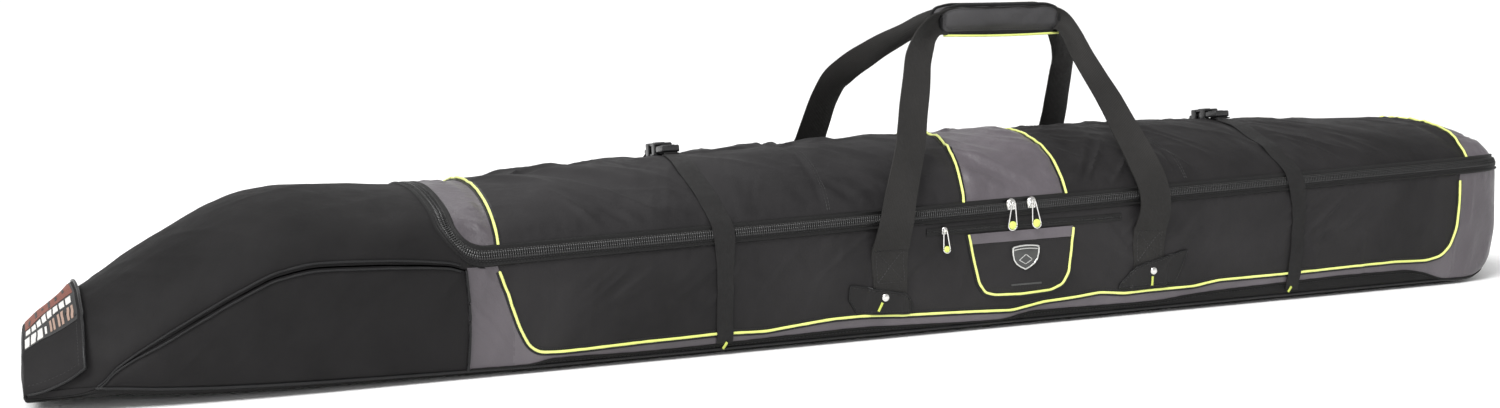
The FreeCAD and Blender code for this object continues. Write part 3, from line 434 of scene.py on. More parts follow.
def strap(points, across, width, thick, rib=0.0, edge=0.22, cup=None, sections=9):
    # woven band: centre line, unit vectors across it, width; slightly thinner at its edges; cup rolls it in radians
    P = np.asarray(points, float)
    n = len(P)
    T = np.gradient(P, axis=0)
    T /= np.maximum(np.linalg.norm(T, axis=1, keepdims=True), 1e-9)
    A = np.asarray(across, float)
    if A.ndim == 1:
        A = np.tile(A, (n, 1))
    A = A - (A * T).sum(1, keepdims=True) * T
    A /= np.linalg.norm(A, axis=1, keepdims=True)
    Nn = np.cross(T, A)
    W = np.full(n, float(width)) if np.isscalar(width) else np.asarray(width, float)
    C = np.zeros(n) if cup is None else np.asarray(cup, float)
    s = np.linspace(-1, 1, sections)
    out = []
    for side_sign in (1, -1):
        row = []
        for q in s:
            half = C / 2
            small = np.abs(half) < 1e-3
            r = np.where(small, 1.0, W / 2 / np.where(small, 1, half))
            xx = np.where(small, W / 2 * q, r * np.sin(half * q))
            dd = np.where(small, 0, r * (1 - np.cos(half * q)))
            tk = thick / 2 * (1 - edge * abs(q) ** 6)
            nx = np.where(small, 0, np.sin(half * q))
            nn = np.where(small, 1, np.cos(half * q))
            row.append(P + A * (xx - side_sign * tk * nx)[:, None] + Nn * (dd + side_sign * tk * nn)[:, None])
        out.append(np.stack(row, axis=1))
    topv, bot = out[0], out[1][:, ::-1]
    ringv = np.concatenate([topv, bot], axis=1)
    k = ringv.shape[1]
    verts = ringv.reshape(-1, 3)
    faces = [tuple(f) for f in quads(n, k, wrap=True)]
    faces.append(tuple(range(k - 1, -1, -1)))
    faces.append(tuple((n - 1) * k + i for i in range(k)))
    L = np.concatenate([[0], np.cumsum(np.linalg.norm(np.diff(P, axis=0), axis=1))])
    sv = np.concatenate([s, s[::-1]])
    uv = np.stack([np.tile(sv, n) * np.repeat(W / 2, k), np.repeat(L, k)], axis=-1) * 0.001
    return verts, faces, uv


def stitches(points, normals_, length=3.0, gap=1.6, radius=0.36, lift=0.15):
    # row of thread stitches along a line, each a short rounded bar
    P = np.asarray(points, float)
    L = np.concatenate([[0], np.cumsum(np.linalg.norm(np.diff(P, axis=0), axis=1))])
    nn = int(L[-1] / (length + gap))
    if nn < 1:
        return np.zeros((0, 3)), [], np.zeros((0, 2))
    start = (np.arange(nn) + 0.2) * (length + gap)
    N = np.asarray(normals_, float)
    if N.ndim == 1:
        N = np.tile(N, (len(P), 1))

    def pick(q, T):
        return np.stack([np.interp(q, L, T[:, k]) for k in range(3)], axis=-1)
    a, b, n = pick(start, P), pick(start + length, P), pick(start + length / 2, N)
    d = b - a
    d /= np.maximum(np.linalg.norm(d, axis=1, keepdims=True), 1e-9)
    sidev = np.cross(d, n)
    sidev /= np.maximum(np.linalg.norm(sidev, axis=1, keepdims=True), 1e-9)
    verts, faces = [], []
    mid = (a + b) / 2
    rows = []
    for c, up_, sd in ((a, -0.3, 0.5), (a + d * length * 0.2, 0.8, 1), (b - d * length * 0.2, 0.8, 1), (b, -0.3, 0.5)):
        rows.append(np.stack([c + n * (lift + radius * up_) , c + sidev * radius * sd + n * (lift - radius * 0.4), c - n * radius, c - sidev * radius * sd + n * (lift - radius * 0.4)], axis=1))
    R = np.stack(rows, axis=1)                       # nn, 4, 4, 3
    verts = R.reshape(-1, 3)
    local = [tuple(f) for f in quads(4, 4, wrap=True)] + [(3, 2, 1, 0), (12, 13, 14, 15)]
    faces = [tuple(q + 16 * m for q in f) for m in range(nn) for f in local]
    return verts, faces, verts[:, [0, 2]] * 0.001


def skin_line(xs, ps, off):
    P, n = at(np.asarray(xs, float), np.asarray(ps, float), off, True)
    return P, n


def rounded_box(size, centre, r=1.0, seg=2, rot=None, taper=None):
    bm = bmesh.new()
    bmesh.ops.create_cube(bm, size=1.0)
    for v in bm.verts:
        v.co = Vector((v.co.x * size[0], v.co.y * size[1], v.co.z * size[2]))
        if taper:
            v.co.x *= 1 - taper * (v.co.z / size[2] + 0.5)
    bmesh.ops.bevel(bm, geom=list(bm.edges), offset=min(r, min(size) * 0.45), segments=seg, profile=0.5, affect="EDGES")
    mt = Matrix.Translation(Vector(centre)) @ (rot.to_4x4() if rot is not None else Matrix.Identity(4))
    bm.transform(mt)
    bm.verts.ensure_lookup_table()
    v = np.array([tuple(q.co) for q in bm.verts])
    f = [tuple(q.index for q in fc.verts) for fc in bm.faces]
    bm.free()
    return v, f, v[:, [0, 1]] * 0.001


def lathe(profile, centre, axis=(0, -1, 0), seg=24):
    # profile: radius, height along the axis
    ax = Vector(axis).normalized()
    a = ax.orthogonal().normalized()
    b = ax.cross(a)
    verts, faces = [], []
    c = Vector(centre)
    for r, hgt in profile:
        for k in range(seg):
            t = TAU * k / seg
            verts.append(tuple(c + ax * hgt + (a * math.cos(t) + b * math.sin(t)) * r))
    for j in range(len(profile) - 1):
        for k in range(seg):
            k2 = (k + 1) % seg
            faces.append((j * seg + k, j * seg + k2, (j + 1) * seg + k2, (j + 1) * seg + k))
    faces.append(tuple(range(seg - 1, -1, -1)))
    faces.append(tuple((len(profile) - 1) * seg + k for k in range(seg)))
    v = np.array(verts)
    return v, faces, v[:, [0, 2]] * 0.001


# ------------------------------------------------------------------ materials
def new_mat(name):
    m = bpy.data.materials.new(name)
    m.use_nodes = True
    nt = m.node_tree
    nt.nodes.clear()
    out = nt.nodes.new("ShaderNodeOutputMaterial")
    b = nt.nodes.new("ShaderNodeBsdfPrincipled")
    nt.links.new(b.outputs["BSDF"], out.inputs["Surface"])
    return m, nt, b


def node(nt, kind, **props):
    n = nt.nodes.new(kind)
    for k, v in props.items():
        if k in n.inputs.keys():
            n.inputs[k].default_value = v
        else:
            setattr(n, k, v)
    return n


def coords(nt, kind="UV", scale=(1, 1, 1), rot=0.0):
    tc = nt.nodes.new("ShaderNodeTexCoord")
    mp = nt.nodes.new("ShaderNodeMapping")
    mp.inputs["Scale"].default_value = scale
    mp.inputs["Rotation"].default_value = (0, 0, rot)
    nt.links.new(tc.outputs[kind], mp.inputs["Vector"])
    return mp.outputs["Vector"]


def mixc(nt, fac, a, b, blend="MIX"):
    m = nt.nodes.new("ShaderNodeMix")
    m.data_type = "RGBA"
    m.blend_type = blend
    for sock, val in (("Factor", fac), ("A", a), ("B", b)):
        s = [i for i in m.inputs if i.name == sock and (i.type == ("VALUE" if sock == "Factor" else "RGBA"))][0]
        if hasattr(val, "is_linked") or hasattr(val, "links"):
            nt.links.new(val, s)
        else:
            s.default_value = val if sock == "Factor" else (*val[:3], 1)
    return [o for o in m.outputs if o.type == "RGBA"][0]


def math_n(nt, op, a, b=None, c=None):
    m = nt.nodes.new("ShaderNodeMath")
    m.operation = op
    for k, v in enumerate((a, b, c)):
        if v is None:
            continue
        if hasattr(v, "links"):
            nt.links.new(v, m.inputs[k])
        else:
            m.inputs[k].default_value = v
    return m.outputs[0]


def noise_n(nt, vec, scale, detail=3.0, rough=0.55, dist=0.0):
    n = nt.nodes.new("ShaderNodeTexNoise")
    n.inputs["Scale"].default_value = scale
    n.inputs["Detail"].default_value = detail
    n.inputs["Roughness"].default_value = rough
    n.inputs["Distortion"].default_value = dist
    nt.links.new(vec, n.inputs["Vector"])
    return n.outputs["Fac"]


def span(nt, v, a, b, lo, hi):
    m = nt.nodes.new("ShaderNodeMapRange")
    m.inputs["From Min"].default_value, m.inputs["From Max"].default_value = a, b
    m.inputs["To Min"].default_value, m.inputs["To Max"].default_value = lo, hi
    nt.links.new(v, m.inputs["Value"])
    return m.outputs["Result"]


def bump_n(nt, height, strength, distance, prev=None):
    b = nt.nodes.new("ShaderNodeBump")
    b.inputs["Strength"].default_value = strength
    b.inputs["Distance"].default_value = distance
    nt.links.new(height, b.inputs["Height"])
    if prev is not None:
        nt.links.new(prev, b.inputs["Normal"])
    return b.outputs["Normal"]


def wave_n(nt, vec, scale, direction="X", distort=0.0):
    w = nt.nodes.new("ShaderNodeTexWave")
    w.wave_type = "BANDS"
    w.bands_direction = direction
    w.wave_profile = "SIN"
    w.inputs["Scale"].default_value = scale
    w.inputs["Distortion"].default_value = distort
    nt.links.new(vec, w.inputs["Vector"])
    return w.outputs["Fac"]


def woven(name, color, rough, sheen=0.2, pitch=0.0011, weave=0.35, crinkle=0.5, shade=0.35, tint=None, spec=0.5, slant=0.0, dust=0.0):
    m, nt, b = new_mat(name)
    uv = coords(nt, "UV", rot=slant)
    ob = coords(nt, "Object")
    k = 0.314159 / pitch
    a, c = wave_n(nt, uv, k, "X", 0.4), wave_n(nt, uv, k, "Y", 0.4)
    thread = math_n(nt, "MULTIPLY", a, c)
    slow = noise_n(nt, ob, 5.0, 4.0, 0.6, 0.4)
    mid = noise_n(nt, ob, 42.0, 5.0, 0.6, 0.2)
    fine = noise_n(nt, ob, 420.0, 2.0)
    dark = tuple(q * (1 - shade) for q in color)
    light = tuple(min(1, q * (1 + shade)) for q in (tint or color))
    col = mixc(nt, span(nt, slow, 0.3, 0.7, 0, 1), dark, light)
    col = mixc(nt, span(nt, mid, 0.35, 0.75, 0, 0.35), col, light)
    col = mixc(nt, math_n(nt, "MULTIPLY", thread, 0.28), col, dark)
    if dust:
        col = mixc(nt, span(nt, mid, 0.62, 0.8, 0, dust), col, (0.35, 0.33, 0.31))
    nt.links.new(col, b.inputs["Base Color"])
    rg = math_n(nt, "ADD", span(nt, mid, 0.3, 0.7, rough - 0.07, rough + 0.07), math_n(nt, "MULTIPLY", fine, 0.05))
    nt.links.new(rg, b.inputs["Roughness"])
    b.inputs["Specular IOR Level"].default_value = spec
    b.inputs["Sheen Weight"].default_value = sheen
    b.inputs["Sheen Roughness"].default_value = 0.45
    b.inputs["Sheen Tint"].default_value = (*(min(1, q * 5 + 0.22) for q in color), 1)
    n = bump_n(nt, mid, crinkle * 0.45, 0.004)
    n = bump_n(nt, noise_n(nt, ob, 130.0, 3.0, 0.6, 0.6), crinkle * 0.35, 0.0015, n)
    n = bump_n(nt, thread, weave, 0.0004, n)
    nt.links.new(n, b.inputs["Normal"])
    return m


def webbing_mat(name, color, rough=0.62, sheen=0.3, rib=0.0016):
    m, nt, b = new_mat(name)
    uv = coords(nt, "UV")
    ob = coords(nt, "Object")
    k = 0.314159
    cross = wave_n(nt, uv, k / rib, "Y", 0.6)
    lengthwise = wave_n(nt, uv, k / (rib * 1.3), "X", 0.2)
    tw = math_n(nt, "MULTIPLY", cross, lengthwise)
    slow = noise_n(nt, ob, 9.0, 4.0, 0.6)
    col = mixc(nt, span(nt, slow, 0.3, 0.7, 0, 1), tuple(q * 0.8 for q in color), tuple(q * 1.3 for q in color))
    col = mixc(nt, math_n(nt, "MULTIPLY", tw, 0.35), col, tuple(q * 0.45 for q in color))
    nt.links.new(col, b.inputs["Base Color"])
    nt.links.new(span(nt, noise_n(nt, ob, 160.0, 3.0), 0.3, 0.7, rough - 0.08, rough + 0.08), b.inputs["Roughness"])
    b.inputs["Sheen Weight"].default_value = sheen
    b.inputs["Sheen Roughness"].default_value = 0.4
    b.inputs["Specular IOR Level"].default_value = 0.16
    n = bump_n(nt, tw, 0.7, 0.0006)
    n = bump_n(nt, noise_n(nt, ob, 600.0, 2.0), 0.25, 0.0002, n)
    nt.links.new(n, b.inputs["Normal"])
    return m


def solid_mat(name, color, rough, metal=0.0, scratch=0.2, coat=0.0, spec=0.5, grain=900.0, vary=0.12, emis=0.0):
    m, nt, b = new_mat(name)
    ob = coords(nt, "Object")
    slow = noise_n(nt, ob, 60.0, 4.0, 0.6)
    col = mixc(nt, span(nt, slow, 0.3, 0.7, 0, 1), tuple(q * (1 - vary) for q in color), tuple(min(1, q * (1 + vary)) for q in color))
    nt.links.new(col, b.inputs["Base Color"])
    b.inputs["Metallic"].default_value = metal
    fine = noise_n(nt, coords(nt, "Object", (1, 1, 6)), grain, 4.0, 0.7)
    nt.links.new(span(nt, fine, 0.3, 0.75, max(0.03, rough - 0.08), rough + scratch * 0.5), b.inputs["Roughness"])
    b.inputs["Coat Weight"].default_value = coat
    b.inputs["Coat Roughness"].default_value = 0.15
    b.inputs["Specular IOR Level"].default_value = spec
    n = bump_n(nt, fine, scratch, 0.00015)
    nt.links.new(n, b.inputs["Normal"])
    return m


BLACK = woven("black_polyester", (0.0150, 0.0142, 0.0150), 0.60, sheen=0.015, pitch=0.0012, weave=0.30, crinkle=0.55, tint=(0.0205, 0.0195, 0.0203), spec=0.13)
# slightly darker copy of the lid's black polyester for the walls, rear wall and pocket: painted shade
BLACK_WALL_PAINTED_SHADE = woven("black_polyester_wall_painted_shade", (0.0140, 0.0132, 0.0138), 0.60, sheen=0.015, pitch=0.0012, weave=0.30, crinkle=0.5, tint=(0.0190, 0.0180, 0.0186), spec=0.15)
# darker copy of the black polyester for the nose panels, tip and flap: painted shade
NOSE_PAINTED_SHADE = woven("black_polyester_nose_painted_shade", (0.0096, 0.0091, 0.0094), 0.62, sheen=0.009, pitch=0.0012, weave=0.30, crinkle=0.4, tint=(0.0132, 0.0126, 0.0129), spec=0.105)
# darker copy of the lid's black polyester for the right lid panel: painted shade
BLACK_RIGHT_PAINTED_SHADE = woven("black_polyester_right_painted_shade", (0.0116, 0.0109, 0.0112), 0.58, sheen=0.012, pitch=0.0012, weave=0.30, crinkle=0.6, tint=(0.0162, 0.0153, 0.0158), spec=0.13)
TOUGH = woven("black_base_cloth", (0.0072, 0.0070, 0.0070), 0.55, sheen=0.02, pitch=0.0018, weave=0.5, crinkle=0.4, spec=0.15, dust=0.05)
GRAY = woven("gray_nylon", (0.066, 0.0570, 0.065), 0.36, sheen=0.04, pitch=0.0010, weave=0.20, crinkle=0.8, shade=0.26, tint=(0.089, 0.078, 0.088), spec=0.52, slant=0.5)
# darker copy of the gray nylon for the left lid accent and the front accents: painted shade
GRAY_PAINTED_SHADE = woven("gray_nylon_painted_shade", (0.0545, 0.0470, 0.0535), 0.38, sheen=0.035, pitch=0.0010, weave=0.20, crinkle=0.9, shade=0.30, tint=(0.075, 0.0655, 0.074), spec=0.46, slant=0.5)
LINING = woven("black_lining", (0.019, 0.019, 0.021), 0.68, sheen=0.12, pitch=0.0014, weave=0.3, crinkle=0.5)
TAPE = woven("zip_tape", (0.0085, 0.0083, 0.0083), 0.50, sheen=0.02, pitch=0.0014, weave=0.45, crinkle=0.12, spec=0.22)
PATCH = woven("patch_cloth", (0.0105, 0.0100, 0.0100), 0.50, sheen=0.02, pitch=0.0016, weave=0.4, crinkle=0.25, spec=0.22)
GRIPC = woven("grip_cloth", (0.0345, 0.0335, 0.0350), 0.50, sheen=0.06, pitch=0.0011, weave=0.3, crinkle=0.8, tint=(0.052, 0.0505, 0.053), spec=0.34)
WEB = webbing_mat("webbing_black", (0.0205, 0.0196, 0.0188), rough=0.62, sheen=0.03)
STRAPM = webbing_mat("strap_black", (0.0150, 0.0145, 0.0145), rough=0.62, sheen=0.02, rib=0.0013)
BIND = webbing_mat("binding_black", (0.0085, 0.0085, 0.009), sheen=0.06, rib=0.0011)
LIMEM = woven("lime_piping_cloth", (0.66, 0.72, 0.16), 0.42, sheen=0.25, pitch=0.0008, weave=0.25, crinkle=0.15, shade=0.10, tint=(0.74, 0.80, 0.24), slant=0.78)
BPIPE = woven("black_piping_cloth", (0.0065, 0.0065, 0.007), 0.34, sheen=0.04, pitch=0.0008, weave=0.25, crinkle=0.15, slant=0.78, spec=0.28)
TOOTH = solid_mat("zip_coil", (0.013, 0.013, 0.013), 0.30, scratch=0.15, coat=0.12, spec=0.5)
THREAD = solid_mat("thread_gray", (0.10, 0.099, 0.096), 0.6, scratch=0.1)
THREADB = solid_mat("thread_black", (0.018, 0.018, 0.018), 0.6, scratch=0.1)
THREADL = solid_mat("thread_lime", (0.55, 0.62, 0.12), 0.55, scratch=0.1)
METAL = solid_mat("nickel", (0.72, 0.71, 0.69), 0.20, metal=1.0, scratch=0.12, vary=0.06)
BUCKLE = solid_mat("buckle_plastic", (0.008, 0.008, 0.0085), 0.22, scratch=0.3, coat=0.15, spec=0.5)
TAB = solid_mat("lime_tab", (0.62, 0.72, 0.13), 0.30, scratch=0.05, coat=0.5)
BADGE_D = solid_mat("badge_dark", (0.035, 0.036, 0.035), 0.32, scratch=0.2, coat=0.2)
BADGE_S = solid_mat("badge_silver", (0.62, 0.62, 0.60), 0.28, metal=0.8, scratch=0.15)
LAB_W = woven("label_white", (0.56, 0.55, 0.53), 0.6, sheen=0.1, pitch=0.0009, weave=0.3, crinkle=0.3, shade=0.1)
LAB_R = woven("label_rust", (0.135, 0.034, 0.018), 0.6, sheen=0.1, pitch=0.0009, weave=0.3, crinkle=0.3, shade=0.2)
LAB_T = woven("label_tan", (0.30, 0.20, 0.155), 0.6, sheen=0.1, pitch=0.0009, weave=0.3, crinkle=0.3, shade=0.12)
LAB_K = woven("label_black", (0.016, 0.016, 0.016), 0.6, sheen=0.1, pitch=0.0009, weave=0.3, crinkle=0.3)
HOOK = woven("hook_and_loop", (0.013, 0.013, 0.013), 0.9, sheen=0.5, pitch=0.0016, weave=1.0, crinkle=0.2)

# ------------------------------------------------------------------ the zip's line in the unrolled crown: x and s (mm up from the front seam)
CX, CR, SC, HALF = -485.0, 40.0, 53.0, 14.0
X_END = 932.0


def zip_path(off, rear_stop=12.0):
    # off > 0 is the lid side; x, s pairs from the rear of the nose crossing, round the front corner and along the front to the tail
    r = CR - off
    xc = CX - r
    n1 = 70
    S0 = float(len_at(xc))
    pts = [(xc, 2 * S0 - rear_stop + (SC + rear_stop - 2 * S0) * k / n1) for k in range(n1)]
    for k in range(16):
        a = math.pi + (math.pi / 2) * k / 15
        pts.append((CX + r * math.cos(a), SC + r * math.sin(a)))
    n2 = 480
    s_run = SC - r
    pts += [(CX + (X_END - CX) * k / n2, s_run) for k in range(1, n2 + 1)]
    return np.array(pts)


def zip_line(off, lift, rear_stop=12.0):
    q = zip_path(off, rear_stop)
    P, n = at(q[:, 0], from_s(q[:, 0], q[:, 1]), lift, True)
    return P, n


def rim(z, x=932.0):
    # half width of the tail's outline at a height
    p = np.linspace(1.0, 4.0, 200)
    Q = at(np.full(200, x), p)
    return np.interp(z, Q[:, 2], -Q[:, 1])


def tail_cap(z, y_rel, lift=0.0):
    hwid = rim(z)
    swell = 7.0 * np.sqrt(np.clip(1 - np.abs(y_rel) ** 2.6, 0, 1)) * np.sin(np.clip((z - 48) / 125.0, 0.02, 0.98) * math.pi) ** 0.45
    return np.stack([932.0 + swell + lift + 0 * z, y_rel * hwid * (1 + 0 * z), z + 0 * y_rel], axis=-1)


def tail_line(dz, lift):
    y = np.linspace(-1, 1, 90)
    return tail_cap(np.full(90, seam_f(932.0) + dz), y, lift)


def zip_band(off_a, off_b, lifts, name, body, node_name):
    # strip between two offsets, with a lift profile across it
    lines = []
    for k, lf in enumerate(lifts):
        o = off_a + (off_b - off_a) * k / (len(lifts) - 1)
        P, _ = zip_line(o, lf)
        lines.append(P)
    grid = np.stack(lines, axis=0)
    L = np.concatenate([[0], np.cumsum(np.linalg.norm(np.diff(grid[0], axis=0), axis=1))])
    uv = np.stack([np.tile(L, (len(lifts), 1)), np.tile(np.linspace(off_a, off_b, len(lifts))[:, None], (1, len(L)))], axis=-1) * 0.001
    part1 = shell(grid, 1.0, uv)
    cap_lines = []
    for k, lf in enumerate(lifts):
        o = off_a + (off_b - off_a) * k / (len(lifts) - 1)
        cap_lines.append(tail_line(13 + o, lf + 0.6))
    grid2 = np.stack(cap_lines, axis=0)
    uv2 = grid2[:, :, 1:3] * 0.001
    part2 = shell(grid2, 1.0, uv2)
    return cloth(name, body, TAPE, [part1, part2], [node_name])


# lid side: welt at the panel edge, flat tape, coil cover; tub side the same, mirrored
up_l = [0.9, 0.95, 1.0, 0.9, 0.7, 0.9, 2.1, 2.7, 2.1, 0.4]
dn_l = [0.4, 2.2, 3.0, 2.4, 0.9, 0.7, 0.9, 1.7, 1.9, 1.2, 0.5]
zt_up = zip_band(0.4, 11.2, [1.2, 1.25, 1.2, 1.0, 0.7, 0.6, 0.8, 1.7, 2.3, 1.9, 0.6], "zipper_tape_upper_cloth", "lid", "zipper_tape_upper")
zt_dn = zip_band(-11.8, -0.4, [0.3, 1.9, 2.7, 2.2, 0.7, 0.5, 0.9, 1.7, 1.6, 0.7, 0.8, 1.1, 1.2], "zipper_tape_lower_cloth", "tub", "zipper_tape_lower")


def teeth(side_sign, name, body, node_name):
    # coil turns: small rounded bars that lie across the tape edge
    parts = []
    for P, n in ((lambda a: a)(zip_line(side_sign * 2.3, 1.5)), (tail_line(13 + side_sign * 2.3, 2.4), None)):
        L = np.concatenate([[0], np.cumsum(np.linalg.norm(np.diff(P, axis=0), axis=1))])
        m = int(L[-1] / 2.6)
        q = (np.arange(m) + (0.5 if side_sign > 0 else 0.0)) * 2.6 + 0.6
        C = np.stack([np.interp(q, L, P[:, k]) for k in range(3)], axis=-1)
        T = np.stack([np.interp(q + 0.4, L, P[:, k]) for k in range(3)], axis=-1) - C
        T /= np.maximum(np.linalg.norm(T, axis=1, keepdims=True), 1e-9)
        if n is None:
            Nn = np.tile([1.0, 0, 0], (m, 1))
        else:
            Nn = np.stack([np.interp(q, L, n[:, k]) for k in range(3)], axis=-1)
        A = np.cross(Nn, T)
        A /= np.maximum(np.linalg.norm(A, axis=1, keepdims=True), 1e-9)
        Nn = np.cross(T, A)
        rows = []
        for da, dn, wv in ((-2.6, -0.7, 0.35), (-1.9, 0.35, 0.62), (1.5, 0.55, 0.72), (2.5, 0.1, 0.6), (2.9, -0.6, 0.4)):
            c = C + A * da * side_sign * -1 + Nn * dn
            rows.append(np.stack([c + T * wv, c + Nn * wv * 0.7, c - T * wv, c - Nn * wv * 0.7], axis=1))
        R = np.stack(rows, axis=1)
        local = [tuple(f) for f in quads(5, 4, wrap=True)] + [(3, 2, 1, 0), (16, 17, 18, 19)]
        faces = [tuple(w + 20 * k for w in f) for k in range(m) for f in local]
        parts.append((R.reshape(-1, 3), faces, R.reshape(-1, 3)[:, [0, 2]] * 0.001))
    core_a, _ = zip_line(side_sign * 3.3, 1.15)
    parts.append(tube(core_a[::2], 0.75, 6))
    parts.append(tube(tail_line(13 + side_sign * 3.3, 2.0), 0.75, 6))
    return cloth(name, body, TOOTH, parts, [node_name], sharp=60)


teeth(1, "zipper_coil_upper", "lid", "zipper_chain_upper")
teeth(-1, "zipper_coil_lower", "tub", "zipper_chain_lower")


def stitch_rows(name, body, mat, rows, slot=None, **kw):
    parts = [stitches(P, n, **kw) for P, n in rows]
    parts = [p for p in parts if len(p[0])]
    return cloth(name, body, mat, parts, (), sharp=60)


stitch_rows("zip_stitches_upper", "lid", THREAD, [zip_line(5.0, 1.02), zip_line(9.8, 1.5)], "zipper_tape", length=2.1, gap=1.5, radius=0.28)
stitch_rows("zip_stitches_lower", "tub", THREADB, [zip_line(-6.0, 1.4), zip_line(-8.3, 0.95)], "zipper_tape", length=2.4, gap=1.3, radius=0.3)

# ------------------------------------------------------------------ lid panels
LINES = {"a": (-474, -466), "b": (85, 118), "c": (233, 233), "d": (857, 890)}


def line_x(key, s, x_guess):
    f0, f1 = LINES[key]
    S0 = len_at(x_guess)
    f = np.clip(s / S0, 0, 1)
    return f0 + (f1 - f0) * f ** 0.8


def inner_edge(s):
    r = CR - 10.6
    front = CX - np.sqrt(np.clip(r * r - np.clip(SC - s, 0, r) ** 2, 0, None))
    return np.where(s >= SC, CX - r, front)


def lid_panel(name, left, right, cad, mat, step=3.0):
    mid = (-490 if left == "zip" else LINES[left][0]) * 0.5 + (932 if right == "end" else LINES[right][0]) * 0.5
    S0 = float(len_at(mid))
    nrow = 116
    f = np.linspace(0, 1, nrow)
    width = (932 if right == "end" else LINES[right][0]) - (-512 if left == "zip" else LINES[left][0])
    nx = max(8, int(width / step))
    a = np.linspace(0, 1, nx + 1)
    xs = np.zeros((nrow, nx + 1))
    for j in range(nrow):
        s = 23.5 + (2 * S0 - 23.5 - 20.0) * f[j]
        xl = float(inner_edge(np.array(s))) if left == "zip" else float(line_x(left, s, LINES[left][0]))
        xr = 932.0 if right == "end" else float(line_x(right, s, LINES[right][0]))
        xs[j] = xl + (xr - xl) * a
    Sx = len_at(xs)
    s = 23.5 + (2 * Sx - 23.5 - 20.0) * f[:, None]
    parts = [panel(xs, 3 + s / Sx, 1.3)]
    if right == "end":
        zz = np.linspace(float(seam_f(932.0)) + 23.3, 172.6, 14)
        yy = np.linspace(-1, 1, 40)
        grid = np.stack([tail_cap(np.full(40, z), yy) for z in zz], axis=0)
        parts.append(shell(grid, 1.3, grid[:, :, 1:3] * 0.001))
    return cloth(name, "lid", mat, parts, cad)


lid_panel("lid_accent_left_cloth", "zip", "a", ["lid_accent_left"], GRAY_PAINTED_SHADE, 2.4)
lid_panel("lid_panel_left_cloth", "a", "b", ["lid_panel_left"], BLACK)
lid_panel("lid_accent_center_cloth", "b", "c", ["lid_accent_center"], GRAY, 2.4)
lid_panel("lid_panel_right_cloth", "c", "d", ["lid_panel_right"], BLACK_RIGHT_PAINTED_SHADE)
lid_panel("lid_accent_right_cloth", "d", "end", ["lid_accent_right"], GRAY, 2.4)

parts, st = [], []
for key in "abcd":
    S0 = float(len_at(LINES[key][0]))
    s = np.linspace(23.4, 2 * S0 - 24, 150)
    xs = line_x(key, s, LINES[key][0])
    P, n = skin_line(xs, 3 + s / len_at(xs), 1.5)
    parts.append(tube(P, 1.55, 10, wave=0.06, seed=ord(key)))
cloth("lid_piping_lime", "lid", LIMEM, parts, ["lid_piping"])
parts = []
for key in "abcd":
    S0 = float(len_at(LINES[key][0]))
    s = np.linspace(23.4, 2 * S0 - 24, 150)
    for d in (-2.9, 2.9):
        xs = line_x(key, s, LINES[key][0]) + d
        P, n = skin_line(xs, 3 + s / len_at(xs), 0.15)
        parts.append(strap(P, np.array([1.0, 0, 0]), 2.6, 0.9, sections=3))
cloth("lid_piping_flanges", "lid", BPIPE, parts)
# sewn lines on the black lid panels
rows = []
for cx in (-86, 400):
    S0 = float(len_at(cx))
    s = np.linspace(28, 2 * S0 - 26, 160)
    lean = {-86: (-87, -78), 400: (413, 395)}[cx]
    xs = lean[0] + (lean[1] - lean[0]) * np.clip(s / S0, 0, 1) ** 0.7
    rows.append(skin_line(xs, 3 + s / len_at(xs), 0.1))
    rows.append(skin_line(xs + 3.0, 3 + s / len_at(xs), 0.1))
stitch_rows("lid_seam_stitches", "lid", THREADB, rows, "black_fabric", length=3.0, gap=1.4, radius=0.32)

# ------------------------------------------------------------------ front wall, gray surround, base
lime = smooth_line(LIME, 3.0, 4)


def front_columns(bottom_xz, top_z, nrow, xshift=0.0):
    b = np.asarray(bottom_xz)
    f = np.linspace(0, 1, nrow)[:, None]
    x = np.tile(b[:, 0], (nrow, 1))
    z = b[:, 1][None, :] + (top_z[None, :] - b[:, 1][None, :]) * f
    return x, from_z(x, z)


bx = lime.copy()
bx[:, 0] = np.maximum.accumulate(bx[:, 0] + np.arange(len(bx)) * 1e-4)
topz = seam_f(bx[:, 0]) + 2.0
x, p = front_columns(bx, np.maximum(topz, bx[:, 1] + 0.2), 48)
cloth("front_wall_cloth", "tub", BLACK_WALL_PAINTED_SHADE, [panel(x, p, 1.3)], ["front_wall_panel"])


def gray_part(cols, nrow=26, off=1.3):
    cols = np.asarray(cols)
    x = np.tile(cols[:, 0], (nrow, 1))
    zb = edge_f(cols[:, 0])
    f = np.linspace(0, 1, nrow)[:, None]
    z = zb[None, :] + (cols[:, 1][None, :] - zb[None, :]) * f
    return panel(x, from_z(x, z), off)


left_cols = [(xx, float(seam_f(xx)) + 2.0) for xx in np.arange(-507.6, -473.5, 2.2)] + [tuple(q) for q in bx if q[0] < -457]
mid_cols = [tuple(q) for q in bx if q[0] >= -460 and q[0] < 846.0 and q[1] < 100]
right_cols = [tuple(q) for q in bx if q[0] > 838] + [(xx, float(seam_f(xx)) + 2.0) for xx in np.append(np.arange(848.5, 931.0, 2.0), 932.0)]
zl = np.linspace(float(edge_f(-509.0)) - 1.0, float(seam_f(-509.0)) - 1.0, 46)
xl = -509.0 + 3.0 * np.sin(np.linspace(0, math.pi, 46)) * 0.9
Pl, nl = skin_line(xl, from_z(xl, zl), 1.5)
cloth("front_accent_left_seam", "tub", BPIPE, [tube(Pl, 1.5, 8)])
cloth("front_accent_left_cloth", "tub", GRAY_PAINTED_SHADE, [gray_part(left_cols, 44, 0.5)], ["front_accent_left"])
cloth("front_accent_strip_cloth", "tub", GRAY, [gray_part(mid_cols, 16)], ["front_accent_strip"])
cloth("front_accent_right_cloth", "tub", GRAY_PAINTED_SHADE, [gray_part(right_cols, 44)], ["front_accent_right"])

